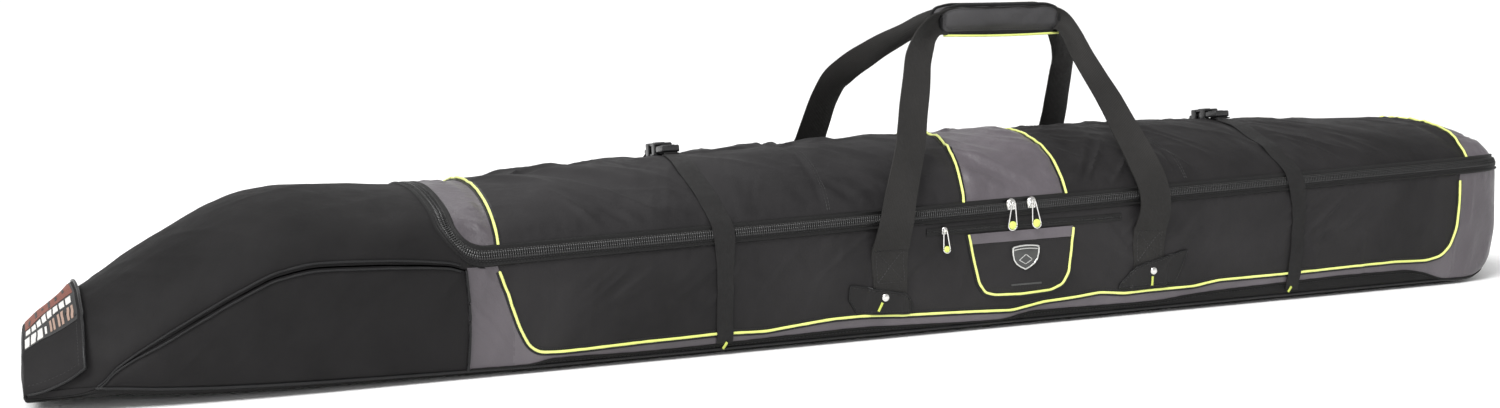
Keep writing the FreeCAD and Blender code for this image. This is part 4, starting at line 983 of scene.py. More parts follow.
xs = np.concatenate([np.arange(-942, -520, 4.0), np.arange(-520, 932.1, 3.0)])
zb = edge_f(xs)
pf = from_z(xs, zb)
nrow_c, nrow_u = 12, 30
rows = [8 - (pf + (1.0 - pf) * k / nrow_c) for k in range(nrow_c)][::1]
rear_rows = np.array(rows)
front_rows = np.array([pf + (1.0 - pf) * k / nrow_c for k in range(nrow_c)])[::-1]
under = np.array([np.full(len(xs), q) for q in np.concatenate([np.linspace(7.0, 8.0, 10), np.linspace(0.0, 1.0, 10)[1:]])])
g1 = at(np.tile(xs, (nrow_c, 1)), rear_rows)
g2 = at(np.tile(xs, (len(under), 1)), under)
g3 = at(np.tile(xs, (nrow_c, 1)), front_rows)
grid = np.concatenate([g1, g2, g3], axis=0)
arcs = np.concatenate([np.zeros((1, len(xs))), np.cumsum(np.linalg.norm(np.diff(grid, axis=0), axis=2), axis=0)], axis=0)
cloth("base_panel_cloth", "tub", TOUGH, [shell(grid, 1.5, np.stack([grid[:, :, 0], arcs], axis=-1) * 0.001)], ["base_panel"])
# folded hem of the base cloth, with its stitches
hx = np.arange(-505, 925, 3.0)
P, n = skin_line(hx, from_z(hx, edge_f(hx)), 0.7)
hem = tube(P, 1.1, 8, wave=0.2, seed=4)
cloth("base_hem", "tub", TOUGH, [hem])
stitch_rows("base_stitches", "tub", THREADB, [skin_line(hx, from_z(hx, np.maximum(edge_f(hx) - 3.0, 1.5)), 0.2)], "black_fabric", length=3.0, gap=1.6, radius=0.32)

# rear wall: up to the fold that the lid turns about
xs = np.append(np.arange(-511, 930.0, 4.0), 932.0)
prs = np.linspace(0, 1, 64)[:, None]
p_top = 5 - 21.0 / len_at(xs)
p_bot = 8 - from_z(xs, np.maximum(edge_f(xs), 8.0))
x = np.tile(xs, (64, 1))
p = p_top[None, :] + (p_bot - p_top)[None, :] * prs
rear = cloth("rear_wall_cloth", None, BLACK_WALL_PAINTED_SHADE, [panel(x, p, 1.3)], ["rear_wall_panel"])
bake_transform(rear)

# tail end, lower half
zz = np.concatenate([np.linspace(50.5, 70, 8)[:-1], np.linspace(70, float(seam_f(932.0)) + 2.0, 16)])
yy = np.linspace(-1, 1, 44)
grid = np.stack([tail_cap(np.full(44, z), yy) for z in zz], axis=0)
cloth("tail_cloth", "tub", TOUGH, [shell(grid, 1.3, grid[:, :, 1:3] * 0.001)], ["tail_panel"])
ringp = np.concatenate([np.linspace(1.0, 3.0, 60)])
P, n = skin_line(np.full(60, 930.5), ringp, 1.2)
P2, _ = skin_line(np.full(60, 930.5), 8 - ringp, 1.2)
bottom, _ = skin_line(np.full(30, 930.5), np.linspace(0.0, 1.0, 30), 1.2)
bottom2, _ = skin_line(np.full(30, 930.5), np.linspace(8.0, 7.0, 30), 1.2)
tail_pipe = [tube(np.concatenate([P2[::-1], bottom2[::-1], bottom[1:], P[1:]]), 2.0, 8)]
cloth("tail_piping_lower", "tub", BPIPE, tail_pipe)
s = np.linspace(27.5, 2 * float(len_at(930.0)) - 22, 120)
P, n = skin_line(np.full(120, 930.5), 3 + s / len_at(930.0), 1.2)
cloth("tail_piping_upper", "lid", BPIPE, [tube(P, 2.0, 8)])

# lime line on the front wall, with its dark sewing edge
P, n = skin_line(bx[:, 0], from_z(bx[:, 0], bx[:, 1]), 1.35)
cloth("front_piping_lime", "tub", LIMEM, [tube(P, 1.55, 10, up=n, wave=0.07, seed=3)], ["front_piping"])
inner = bx.copy()
T = np.gradient(bx, axis=0)
T /= np.linalg.norm(T, axis=1, keepdims=True)
flr, str_rows = [], []
for d in (-2.9, 2.9):
    q = bx + np.stack([-T[:, 1], T[:, 0]], axis=-1) * d
    Pq, nq = skin_line(q[:, 0], from_z(q[:, 0], q[:, 1]), 0.15)
    flr.append(strap(Pq, np.cross(nq, np.gradient(Pq, axis=0)), 2.4, 0.9, sections=3))
cloth("front_piping_flanges", "tub", BPIPE, flr)

# ------------------------------------------------------------------ nose
xs = np.arange(-942, -508.9, 3.0)
right = np.where(True, 1, 1)
f = np.linspace(0, 1, 46)[:, None]
p0 = from_z(xs, np.maximum(edge_f(xs), low_f(xs) + 1.5))
p1 = np.full(len(xs), 2.985)
x = np.tile(xs, (46, 1))
x = x + np.where(x > -560, (x + 560) / 51.0 * 4.0 * np.sin(f * math.pi) * 0.8, 0)
x = np.minimum(x, -505)
p = p0[None, :] + (p1 - p0)[None, :] * f
cloth("nose_front_cloth", "tub", NOSE_PAINTED_SHADE, [panel(x, p, 1.3)], ["nose_front_panel"])
cloth("nose_rear_cloth", "tub", NOSE_PAINTED_SHADE, [panel(x, 8 - p, 1.3)], ["nose_rear_panel"])


def outer_edge(s):
    r = CR + 11.2
    front = CX - np.sqrt(np.clip(r * r - np.clip(SC - s, 0, r) ** 2, 0, None))
    return np.where(s >= SC, CX - r, front)


nrow = 150
f = np.linspace(0, 1, nrow)
nx = 150
a = np.linspace(0, 1, nx + 1)
grid_x = np.zeros((nrow, nx + 1))
for j in range(nrow):
    s = f[j] * 2 * float(len_at(-535.0))
    grid_x[j] = -942 + (float(outer_edge(np.array(s))) + 942) * a
p = 3 + 2 * f[:, None] + 0 * grid_x
cloth("nose_top_cloth", "tub", NOSE_PAINTED_SHADE, [panel(grid_x, p, 1.3)], ["nose_top_panel"])

# tip end, folded shut
zt = np.linspace(0, 1, 16)
ring_p = np.linspace(1.2, 6.8, 120)
R = at(np.full(120, -942.0), ring_p)
grid = []
for q in zt:
    g = R.copy()
    g[:, 0] -= 3.2 * math.sin(q * math.pi / 2)
    g[:, 1] *= 1 - 0.10 * q ** 3
    g[:, 2] = g[:, 2] + (12.5 - g[:, 2]) * q ** 1.6
    grid.append(g)
grid = np.stack(grid, axis=0)
cloth("nose_tip_cloth", "tub", NOSE_PAINTED_SHADE, [shell(grid, 1.0, grid[:, :, 1:3] * 0.001)], ["nose_tip_panel"])

seam_x = np.arange(-878, -512, 3.0)
pipes = []
spread = 0.35 + 0.65 * ramp(seam_x, -878, -800)
for off_s, rr in ((4.4, 1.35), (-4.0, 1.35)):
    for rear_side in (False, True):
        pp = from_s(seam_x, off_s * spread * (1 - 0.3 * ramp(seam_x, -600, -520)))
        P, n = skin_line(seam_x, 8 - pp if rear_side else pp, 1.1)
        pipes.append(tube(P, rr, 8, wave=0.1, seed=6))
cloth("nose_seam_pipings", "tub", BPIPE, pipes, ["nose_seam_piping"])
bxs = np.arange(-880, 900, 4.0)
pipes = []
for rear_side in (False, True):
    zb = np.minimum(low_f(bxs) + 6.5 + 2.6 * (1 - ramp(bxs, -878, -520)), edge_f(bxs) - 1.3)
    pp = from_z(bxs, zb)
    P, n = skin_line(bxs, 8 - pp if rear_side else pp, 0.9)
    pipes.append(tube(P, 1.6, 8))
cloth("base_piping_black", "tub", BPIPE, pipes, ["base_piping"])

# ------------------------------------------------------------------ padding and lining seen with the lid open
def quilt(x, p, off, thick, cell=58.0):
    P, n = at(x, p, off, True)
    arcl = np.concatenate([np.zeros((1, P.shape[1])), np.cumsum(np.linalg.norm(np.diff(P, axis=0), axis=2), axis=0)], axis=0)
    u, v = (P[:, :, 0] + arcl) / cell, (P[:, :, 0] - arcl) / cell
    puff = np.abs(np.sin(u * math.pi)) ** 0.5 * np.abs(np.sin(v * math.pi)) ** 0.5
    inner = P - n * (thick * (0.45 + 0.75 * puff))[:, :, None]
    nj, ni = P.shape[:2]
    verts = np.concatenate([P.reshape(-1, 3), inner.reshape(-1, 3)])
    k = nj * ni
    faces = [quads(nj, ni), quads(nj, ni, k, flip=True)]
    ring = np.concatenate([np.arange(ni), (np.arange(1, nj) + 1) * ni - 1, (nj - 1) * ni + np.arange(ni - 2, -1, -1), np.arange(nj - 2, 0, -1) * ni])
    nxt = np.roll(ring, -1)
    faces.append(np.stack([ring, ring + k, nxt + k, nxt], axis=-1))
    uv = np.stack([P[:, :, 0], arcl], axis=-1).reshape(-1, 2) * 0.001
    return verts, np.concatenate(faces), np.concatenate([uv, uv])


xs = np.arange(-500, 896, 7.0)
f = np.linspace(0, 1, 20)[:, None]
pa, pb = from_z(xs, np.maximum(16.0, low_f(xs) + 14)), from_s(xs, np.full(len(xs), 2.0))
x = np.tile(xs, (20, 1))
pf2 = pa[None, :] + (pb - pa)[None, :] * f
lin = cloth("side_padding_quilted", "tub", LINING, [quilt(x, pf2, -1.9, 4.2), quilt(x, 8 - pf2[::-1], -1.9, 4.2)], ["side_foam"])
f = np.linspace(0, 1, 56)[:, None]
s0, s1 = 29.0, 2 * len_at(xs) - 24
x = np.tile(xs, (56, 1))
s = s0 + (s1 - s0)[None, :] * f
lidlin = cloth("lid_padding_quilted", "lid", LINING, [quilt(x, 3 + s / len_at(x), -1.9, 4.2)], ["lid_foam"])
bxg = np.arange(-498, 841, 7.0)
byg = np.linspace(-124, 124, 38)
Xg, Yg = np.meshgrid(bxg, byg)
puff = np.abs(np.sin((Xg + Yg) / 58 * math.pi)) ** 0.5 * np.abs(np.sin((Xg - Yg) / 58 * math.pi)) ** 0.5
Pb = np.stack([Xg, Yg, 3.6 + 1.6 * puff + 1.4], axis=-1)
v, fcs, uvs = shell(Pb, 3.2, np.stack([Xg, Yg], axis=-1) * 0.001, N=np.tile([0, 0, 1.0], Pb.shape[:2] + (1,)))
bl = cloth("base_padding_quilted", "tub", LINING, [(v, fcs, uvs)], ["base_foam"])

# ------------------------------------------------------------------ compression straps and buckles
strap_objs = {}
for n_, sx, lean in ((1, -218.0, -8.0), (2, 571.0, -10.0)):
    # front half: from the base seam up the wall, over the zip and the crown, into the buckle
    z = np.linspace(13, float(seam_f(sx)), 60)
    p_end = from_y(sx, -1.5)
    p1 = from_z(np.full(60, sx), z)
    p2 = np.linspace(3.0, p_end, 90)[1:]
    pp = np.concatenate([p1, p2])
    f = np.linspace(0, 1, len(pp))
    xx = sx + np.interp(f, [0, 0.15, 0.35, 0.45, 0.6, 0.78, 0.92, 1.0], [3.0, 3.5 + 5 * (n_ - 1), 4.0 + 5 * (n_ - 1), 2.0, -5.0, -8.5, -4.0, 0.0])
    lift = 1.5 + 0 * pp
    zz_ = np.concatenate([z, np.full(89, 999.0)])
    lime_z = np.interp(sx, bx[:, 0], bx[:, 1])
    lift += 2.1 * bell(zz_ - lime_z, 6)
    sdist = np.concatenate([np.full(60, -999.0), (p2 - 3) * len_at(sx)])
    sdist[:60] = z - float(seam_f(sx))
    lift += 2.3 * ramp(sdist, -10, 2) * (1 - ramp(sdist, 22, 34))
    P, nn = at(xx, pp, lift, True)
    k = np.arange(len(P))
    for _ in range(4):
        P[1:-1] = (P[:-2] + 2 * P[1:-1] + P[2:]) / 4
    ob = cloth("compression_strap_front_%d_webbing" % n_, "tub", STRAPM, [strap(P, np.array([1.0, 0, 0]), 19.5 + 5.9 * ramp(f, 0.26, 0.46), 1.5)], ["compression_strap_front_%d" % n_])
    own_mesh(ob)
    z = np.linspace(13, float(seam_f(sx)), 50)
    p1 = 8 - from_z(np.full(50, sx), z)
    p_end = from_y(sx, 57)
    p2 = np.linspace(5.0, p_end, 40)[1:]
    P, nn = at(np.full(89, sx), np.concatenate([p1, p2]), 1.5, True)
    for _ in range(4):
        P[1:-1] = (P[:-2] + 2 * P[1:-1] + P[2:]) / 4
    ob = cloth("compression_strap_rear_%d_webbing" % n_, None, STRAPM, [strap(P, np.array([-1.0, 0, 0]), 25.4, 1.5)], ["compression_strap_rear_%d" % n_])
    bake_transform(ob)

    # side-release buckle, drawn in its own frame: x across, y from the crown line towards the rear, z out
    tilt = math.radians(-8.0)
    zc = float(top_f(sx)) - 0.4 + (1.5 if n_ == 1 else 0.0)
    Rm = Matrix.Rotation(tilt, 4, "X")
    loc = Matrix.Translation(Vector((sx, 2, zc))) @ Rm @ Matrix.Diagonal((0.68, 1.0, 1.45, 1.0))

    def put(parts, mt=loc):
        out = []
        for v, fcs, uvs in parts:
            vv = np.array([tuple(mt @ Vector(q)) for q in v])
            out.append((vv, fcs, uvs))
        return out
    fem = [rounded_box((34, 29, 2.4), (0, 39, 10.0), 0.9, 3), rounded_box((34, 29, 2.2), (0, 39, 1.3), 0.9, 3),
           rounded_box((3.4, 30, 10.6), (-15.3, 39.5, 5.6), 1.2, 3), rounded_box((3.4, 30, 10.6), (15.3, 39.5, 5.6), 1.2, 3)]
    fem = [rounded_box((30, 30, 2.6), (0, 39, 9.7), 1.1, 3), rounded_box((30, 30, 2.2), (0, 39, 1.4), 1.0, 3),
           rounded_box((3.0, 9, 10.4), (-15.4, 29.2, 5.6), 1.2, 3), rounded_box((3.0, 9, 10.4), (15.4, 29.2, 5.6), 1.2, 3),
           rounded_box((3.0, 9.5, 10.4), (-15.2, 48.6, 5.6), 1.2, 3), rounded_box((3.0, 9.5, 10.4), (15.2, 48.6, 5.6), 1.2, 3),
           rounded_box((31, 3.0, 9.4), (0, 52.4, 5.6), 1.2, 3), rounded_box((16, 12, 0.9), (0, 39, 11.1), 0.4, 2),
           rounded_box((33, 3.4, 3.4), (0, 56.6, 4.2), 1.5, 3), rounded_box((3.2, 6, 3.6), (-15.2, 54.5, 4.2), 1.2, 2), rounded_box((3.2, 6, 3.6), (15.2, 54.5, 4.2), 1.2, 2)]
    cloth("buckle_female_%d_body" % n_, "lid", BUCKLE, put(fem), ["buckle_female_%d" % n_], sharp=50)
    male = [rounded_box((31.5, 3.2, 5.2), (0, 20.6, 5.4), 1.3, 3), rounded_box((31.5, 3.4, 5.6), (0, 2.6, 5.6), 1.4, 3),
            rounded_box((3.2, 22, 5.4), (-14.2, 11.5, 5.4), 1.3, 3), rounded_box((3.2, 22, 5.4), (14.2, 11.5, 5.4), 1.3, 3),
            rounded_box((27, 2.8, 4.2), (0, 10.4, 5.4), 1.2, 3),
            rounded_box((5.2, 17, 4.8), (-12.0, 29.6, 5.4), 1.1, 3), rounded_box((5.2, 17, 4.8), (12.0, 29.6, 5.4), 1.1, 3),
            rounded_box((5.6, 16, 2.6), (0, 29.4, 5.4), 1.0, 3)]
    body = "buckle_one" if n_ == 1 else "buckle_two"
    cloth("buckle_male_%d_body" % n_, body, BUCKLE, put(male), ["buckle_male_%d" % n_], sharp=50)
    # webbing threaded through the slider bars; a free tail is shaped as well but not added to the mesh
    path = np.array([(0, -3.5, 1.4), (0, 2.0, 1.6), (0, 6.0, 4.4), (0, 9.0, 8.3), (0, 11.5, 8.6), (0, 14.5, 4.6), (0, 16.5, 3.2), (0.0, 12.0, 2.2), (0, 4, 2.4)])
    pth = smooth_line(path, 0.9, 5)
    loop = strap(pth, np.array([1.0, 0, 0]), 25.2, 1.3)
    tailp = np.array([(3, 3.5, 7.2), (5, 0.0, 9.6), (10, -5.0, 9.5), (16, -11, 7.0), (22, -17, 4.6), (29, -24, 2.8)])
    tp = smooth_line(tailp, 1.5, 6)
    tl = strap(tp, np.array([0.85, 0.55, 0.0]), 22, 1.3)
    cloth("buckle_webbing_%d" % n_, body, STRAPM, put([loop]), [])
    end = np.array([(0, 55.0, 4.0), (0, 57.5, 6.4), (0, 60, 4.6), (0, 63, 2.0), (0, 70, 0.2)])
    ep = smooth_line(end, 1.2, 5)
    cloth("buckle_anchor_webbing_%d" % n_, "lid", STRAPM, put([strap(ep, np.array([-1.0, 0, 0]), 25.2, 1.3)]), [])

# ------------------------------------------------------------------ pocket
def wall_patch(outline_top, outline_bottom, nrow, off, thick=1.2, cols=60, puff=0.0):
    a, b = resample(outline_top, 1.0), resample(outline_bottom, 1.0)
    q = np.linspace(0, 1, cols)

    def pick(A):
        L = np.linspace(0, 1, len(A))
        return np.stack([np.interp(q, L, A[:, 0]), np.interp(q, L, A[:, 1])], axis=-1)
    A, B = pick(a), pick(b)
    f = np.linspace(0, 1, nrow)[:, None, None]
    G = B[None] + (A - B)[None] * f
    lift = off + puff * np.sin(f[:, :, 0] * math.pi) ** 0.6 * np.sin(q[None, :] * math.pi) ** 0.5
    P = at(G[:, :, 0], from_z(G[:, :, 0], G[:, :, 1]), lift)
    return shell(P, thick, G * 0.001)


pk = smooth_line(POCKET, 1.5, 6)
bot = [q for q in pk if q[1] < 103]
xl_, xr_ = bot[0][0], bot[-1][0]
ptop = [(xl_ + (xr_ - xl_) * k / 40, 103.0) for k in range(41)]
cloth("pocket_panel_cloth", "tub", BLACK_WALL_PAINTED_SHADE, [wall_patch(ptop, bot, 30, 1.0, 1.0, 72, 1.0)], ["pocket_panel"])
gtop = [(96.5 + (240.5 - 96.5) * k / 30, 114.6 + 1.6 * k / 30) for k in range(31)]
gbot = [(xl_ + (xr_ - xl_) * k / 30, 102.6 + 0.8 * k / 30) for k in range(31)]
cloth("pocket_accent_cloth", "tub", GRAY, [wall_patch(gtop, gbot, 8, 1.5, 0.9, 60, 0.5)], ["pocket_accent"])
P, n = skin_line(pk[:, 0], from_z(pk[:, 0], pk[:, 1]), 2.1)
cloth("pocket_piping_lime", "tub", LIMEM, [tube(P, 1.5, 10, up=n, wave=0.05, seed=12)], ["pocket_piping"])
T = np.gradient(pk, axis=0)
T /= np.linalg.norm(T, axis=1, keepdims=True)
fl = []
for d in (-2.7, 2.7):
    q = pk + np.stack([-T[:, 1], T[:, 0]], axis=-1) * d
    Pq, nq = skin_line(q[:, 0], from_z(q[:, 0], q[:, 1]), 0.9)
    fl.append(strap(Pq, np.cross(nq, np.gradient(Pq, axis=0)), 2.2, 0.9, sections=3))
cloth("pocket_piping_flanges", "tub", BPIPE, fl)
rows = [skin_line(np.linspace(xl_ + 3, xr_ - 3, 60), from_z(np.linspace(xl_ + 3, xr_ - 3, 60), np.linspace(101.2, 101.9, 60)), 1.35)]
q = pk + np.stack([-T[:, 1], T[:, 0]], axis=-1) * 6.0
q = q[(q[:, 1] < 100)]
rows.append(skin_line(q[:, 0], from_z(q[:, 0], q[:, 1]), 1.25))
stitch_rows("pocket_stitches", "tub", THREADB, rows, "black_fabric", length=2.6, gap=1.4, radius=0.3)
# pocket zip: a covered coil under two lips
xz = np.linspace(40, 311, 110)
zc_ = 120.3 + 2.2 * (xz - 40) / 271
strips = []
prof = [(-4.6, 0.3), (-3.6, 1.3), (-1.6, 1.7), (-0.5, 0.7), (0.5, 0.7), (1.6, 1.8), (3.6, 1.5), (4.8, 0.3)]
G = np.stack([at(xz, from_z(xz, np.minimum(zc_ + dz, seam_f(xz) - 0.6)), lf) for dz, lf in prof], axis=0)
strips.append(shell(G, 0.8, np.stack([np.tile(xz, (len(prof), 1)), np.tile(np.array([q[0] for q in prof])[:, None], (1, len(xz)))], axis=-1) * 0.001))
pz = cloth("pocket_zipper_tape", "tub", TAPE, strips, ["pocket_zipper"])
m = int(271 / 1.9)
tp_ = []
for k in range(m):
    xk = 41 + k * 1.9
    c = at(np.array([xk]), from_z(np.array([xk]), np.array([120.3 + 2.2 * (xk - 40) / 271])), 1.35)[0]
    tp_.append(rounded_box((1.0, 1.2, 2.6), tuple(c), 0.4, 1))
cloth("pocket_zipper_coil", "tub", TOOTH, tp_, [], sharp=60)

# badge: a plain shield with a raised bright rim and a bar
SH = [(154.5, 95.5), (157.5, 96.6), (165, 97.6), (173.5, 98), (182, 97.6), (189.5, 96.6), (192.5, 95.5), (192.2, 88), (190.2, 80), (186.5, 75), (180.5, 71), (173.5, 67.8),
      (166.5, 71), (160.5, 75), (156.8, 80), (154.8, 88)]
sh = np.array(SH)
cen = np.array([173.5, 84.5])


def shield(scale, y0, y1, bulge=0.0):
    dense = resample(np.concatenate([sh, sh[:1]]), 1.6)[:-1]
    q = cen + (dense - cen) * scale
    k = len(q)
    a = np.stack([q[:, 0], np.full(k, y0), q[:, 1]], axis=-1)
    b = np.stack([q[:, 0], np.full(k, y1), q[:, 1]], axis=-1)
    q2 = cen + (dense - cen) * (scale * 0.95)
    c = np.stack([q2[:, 0], np.full(k, y1 - 0.35 * np.sign(y0 - y1)), q2[:, 1]], axis=-1)
    verts = np.concatenate([a, b, c, [[cen[0], y1 - (0.35 + bulge), cen[1]]]])
    faces = []
    for i in range(k):
        i2 = (i + 1) % k
        faces += [(i, i2, k + i2, k + i), (k + i, k + i2, 2 * k + i2, 2 * k + i), (2 * k + i, 2 * k + i2, 3 * k)]
    faces.append(tuple(range(k - 1, -1, -1)))
    return verts, faces, verts[:, [0, 2]] * 0.001


cloth("pocket_badge_plate", "tub", BADGE_D, [shield(1.0, -143.8, -146.4, 0.3)], ["pocket_badge"], sharp=30)
dense = resample(np.concatenate([sh, sh[:1]]), 1.2)
rim_pts = np.stack([(cen + (dense - cen) * 0.95)[:, 0], np.full(len(dense), -146.7), (cen + (dense - cen) * 0.95)[:, 1]], axis=-1)
bar = np.stack([np.linspace(157, 190, 20), np.full(20, -146.8), 92.3 + 1.3 * np.sin(np.linspace(0, math.pi, 20))], axis=-1)
dia = np.array([[164.5, 80], [173.5, 86.5], [182.5, 80], [173.5, 75], [164.5, 80]])
dia = resample(dia, 1.0)
cloth("pocket_badge_rim", "tub", BADGE_S, [tube(rim_pts, 1.05, 8, caps=False), tube(bar, 0.7, 8),
                                                    tube(np.stack([dia[:, 0], np.full(len(dia), -146.9), dia[:, 1]], axis=-1), 0.45, 6)], [], sharp=60)
# raised plain bar below the badge
cloth("pocket_mark", "tub", BADGE_D, [rounded_box((42, 0.7, 2.2), (176, -145.3, 50.5), 0.3, 2)], [], sharp=40)

# ------------------------------------------------------------------ handles
HW = 42.0
ANCH = {"front": [(-8.0, -1), (352.0, -1)], "rear": [(0.0, 1), (368.0, 1)]}
for side_name, lst in ANCH.items():
    parts, srows = [], []
    for xc, s_ in lst:
        bottom_z = 36.5 if s_ < 0 else 30.0
        z = np.linspace(bottom_z, 108.5, 44)
        pz_ = from_z(np.full(44, xc), z)
        pz_ = pz_ if s_ < 0 else 8 - pz_
        hwid = 44.0 + 4.0 * ramp(z, 60, 108) * (s_ < 0)
        P = at(np.full(44, xc), pz_, 1.6)
        pk_lift = 1.8 * ((z > 95) & (abs(xc - 180) < 0)).astype(float)
        P[:, 1] += s_ * (1.2 * ramp(z, 92, 108.5) + pk_lift)
        parts.append(strap(P, np.array([1.0 if s_ < 0 else -1.0, 0, 0]), hwid, 2.1))
        a, b = xc - 17.5, xc + 17.5
        z0, z1 = 66.0, 103.0
        yy0 = lambda zz: at(np.full(len(zz), xc), from_z(np.full(len(zz), xc), zz) if s_ < 0 else 8 - from_z(np.full(len(zz), xc), zz), 2.75)[:, 1]

        def seg(p, q, cnt=24):
            xx_ = np.linspace(p[0], q[0], cnt)
            zz_ = np.linspace(p[1], q[1], cnt)
            return np.stack([xx_, yy0(zz_) + s_ * 1.2 * ramp(zz_, 92, 108.5), zz_], axis=-1)
        for p_, q_ in (((a, z0), (b, z0)), ((a, z1), (b, z1)), ((a, z0), (a, z1)), ((b, z0), (b, z1)), ((a, z0), (b, z1)), ((a, z1), (b, z0))):
            L = seg(p_, q_)
            srows.append((L, np.tile([0, s_ * 1.0, 0], (len(L), 1))))
    cloth("handle_anchor_%s_webbing" % side_name, "tub", WEB, parts, ["handle_anchor_" + side_name])
    stitch_rows("handle_anchor_%s_stitches" % side_name, "tub", THREADB, srows, "webbing", length=2.8, gap=1.2, radius=0.38)

LP = [(-61, 50), (-58, 66), (-30, 60), (13, 52.5), (23, 37), (18, 27), (-20, 31), (-50, 33)]
LPt, LPb = [(-60, 64), (-57, 66), (-22, 59), (10, 52.5), (22, 40)], [(-61, 50), (-50, 33), (-20, 30), (8, 28.5), (23, 27.5)]
RPt, RPb = [(311, 40), (333, 60.5), (360, 66), (395, 74), (409, 75)], [(309, 34), (335, 34.5), (360, 35), (380, 35.5), (392, 36)]


def patch(topl, botl, dx, s_, off):
    a, b = resample(np.array(topl, float) + [dx, 0], 1.0), resample(np.array(botl, float) + [dx, 0], 1.0)
    q = np.linspace(0, 1, 46)
    A = np.stack([np.interp(q, np.linspace(0, 1, len(a)), a[:, k]) for k in (0, 1)], axis=-1)
    B = np.stack([np.interp(q, np.linspace(0, 1, len(b)), b[:, k]) for k in (0, 1)], axis=-1)
    f = np.linspace(0, 1, 16)[:, None, None]
    G = B[None] + (A - B)[None] * f
    pz_ = from_z(G[:, :, 0], G[:, :, 1])
    edge = np.minimum(np.minimum(f[:, :, 0], 1 - f[:, :, 0]) * 12, np.minimum(q, 1 - q)[None, :] * 18)
    base_off = off + 2.2 * ramp(np.minimum(edge, 1.0), 0, 1) * 0 + 0
    xm = np.array([-8.0, 352.0]) if s_ < 0 else np.array([0.0, 368.0])
    over = np.max([ramp(24.5 - np.abs(G[:, :, 0] - xx), -3, 0.5) for xx in xm], axis=0)
    lift = base_off + 2.3 * over
    if s_ < 0:
        P = at(G[:, :, 0], pz_, lift)
        return shell(P, 1.1, G * 0.001)
    P = at(G[:, :, 0], 8 - pz_, lift)[:, ::-1]
    return shell(P, 1.1, G * 0.001)


cloth("handle_patches_cloth", "tub", PATCH,
      [patch(LPt, LPb, 0, -1, 1.5), patch(RPt, RPb, 0, -1, 1.5), patch(LPt, LPb, 8, 1, 1.5), patch(RPt, RPb, 16, 1, 1.5)], ["handle_patches"])
pedge = []
for topl, botl, dx, s_ in ((LPt, LPb, 0, -1), (RPt, RPb, 0, -1), (LPt, LPb, 8, 1), (RPt, RPb, 16, 1)):
    for line_ in (topl, botl, [topl[0], botl[0]], [topl[-1], botl[-1]]):
        g = resample(np.array(line_, float) + [dx, 0], 1.5)
        xm = np.array([-8.0, 352.0]) if s_ < 0 else np.array([0.0, 368.0])
        over = np.max([ramp(24.5 - np.abs(g[:, 0] - xx), -3, 0.5) for xx in xm], axis=0)
        pz_ = from_z(g[:, 0], g[:, 1])
        pedge.append(tube(at(g[:, 0], pz_ if s_ < 0 else 8 - pz_, 1.35 + 2.3 * over), 0.85, 6))
cloth("handle_patch_edges", "tub", BPIPE, pedge)
prow = []
for topl, botl, dx, s_ in ((LPt, LPb, 0, -1), (RPt, RPb, 0, -1), (LPt, LPb, 8, 1), (RPt, RPb, 16, 1)):
    for line_, dz in ((topl, -2.6), (botl, 2.6)):
        g = resample(np.array(line_, float) + [dx, dz], 1.5)[3:-3]
        pz_ = from_z(g[:, 0], g[:, 1])
        xm = np.array([-8.0, 352.0]) if s_ < 0 else np.array([0.0, 368.0])
        over = np.max([ramp(24.5 - np.abs(g[:, 0] - xx), -3, 0.5) for xx in xm], axis=0)
        P, n = at(g[:, 0], pz_ if s_ < 0 else 8 - pz_, 1.75 + 2.3 * over, True)
        prow.append((P, n))
stitch_rows("handle_patch_stitches", "tub", THREADB, prow, "black_fabric", length=2.6, gap=1.4, radius=0.34)

riv, wash = [], []
for x_, z_, s_ in ((-14, 49, -1), (358, 53, -1), (0, 49, 1), (368, 53, 1)):
    c = at(np.array([x_]), np.array([float(from_z(x_, z_))]) if s_ < 0 else 8 - np.array([float(from_z(x_, z_))]), 4.0)[0]
    prof = [(4.9, -1.2), (4.9, 0.0), (4.7, 0.5), (4.1, 1.1), (3.3, 1.6), (2.2, 2.0), (1.0, 2.2), (0.2, 2.25)]
    riv.append(lathe(prof, tuple(c), axis=(0, s_, 0), seg=28))
cloth("handle_rivet_domes", "tub", METAL, riv, ["handle_rivets"], sharp=35)


def tack_mesh(x_, z_, ang, off, s_, half=5.2):
    parts = []
    a = math.radians(ang)
    dx, dz = math.sin(a), math.cos(a)
    for k in range(15):
        t = half * (2 * k / 14 - 1)
        cx, cz = x_ + dx * t, z_ + dz * t
        ax, az = dz, -dx
        g = np.array([[cx - ax * 1.3, cz - az * 1.3], [cx, cz], [cx + ax * 1.3, cz + az * 1.3]])
        pz_ = from_z(g[:, 0], g[:, 1])
        P = at(g[:, 0], pz_ if s_ < 0 else 8 - pz_, np.array([off, off + 0.35, off]))
        parts.append(tube(P, 0.5, 6))
    return parts


tk = []
for x_, z_, ang, off, s_ in ((-21, 38.5, 28, 4.3, -1), (356, 41, 2, 4.3, -1), (-11, 39, 28, 4.3, 1), (364, 41, 2, 4.3, 1), (-215, 11, 34, 3.0, -1), (570, 14, 38, 3.0, -1), (-221, 16, 38, 2.9, 1), (560, 16, 38, 2.9, 1)):
    tk += tack_mesh(x_, z_, ang, off, s_, 5.2 if z_ > 30 else 3.4)
cloth("bartacks_lime", "tub", THREADL, tk, ["bartacks"], sharp=60)

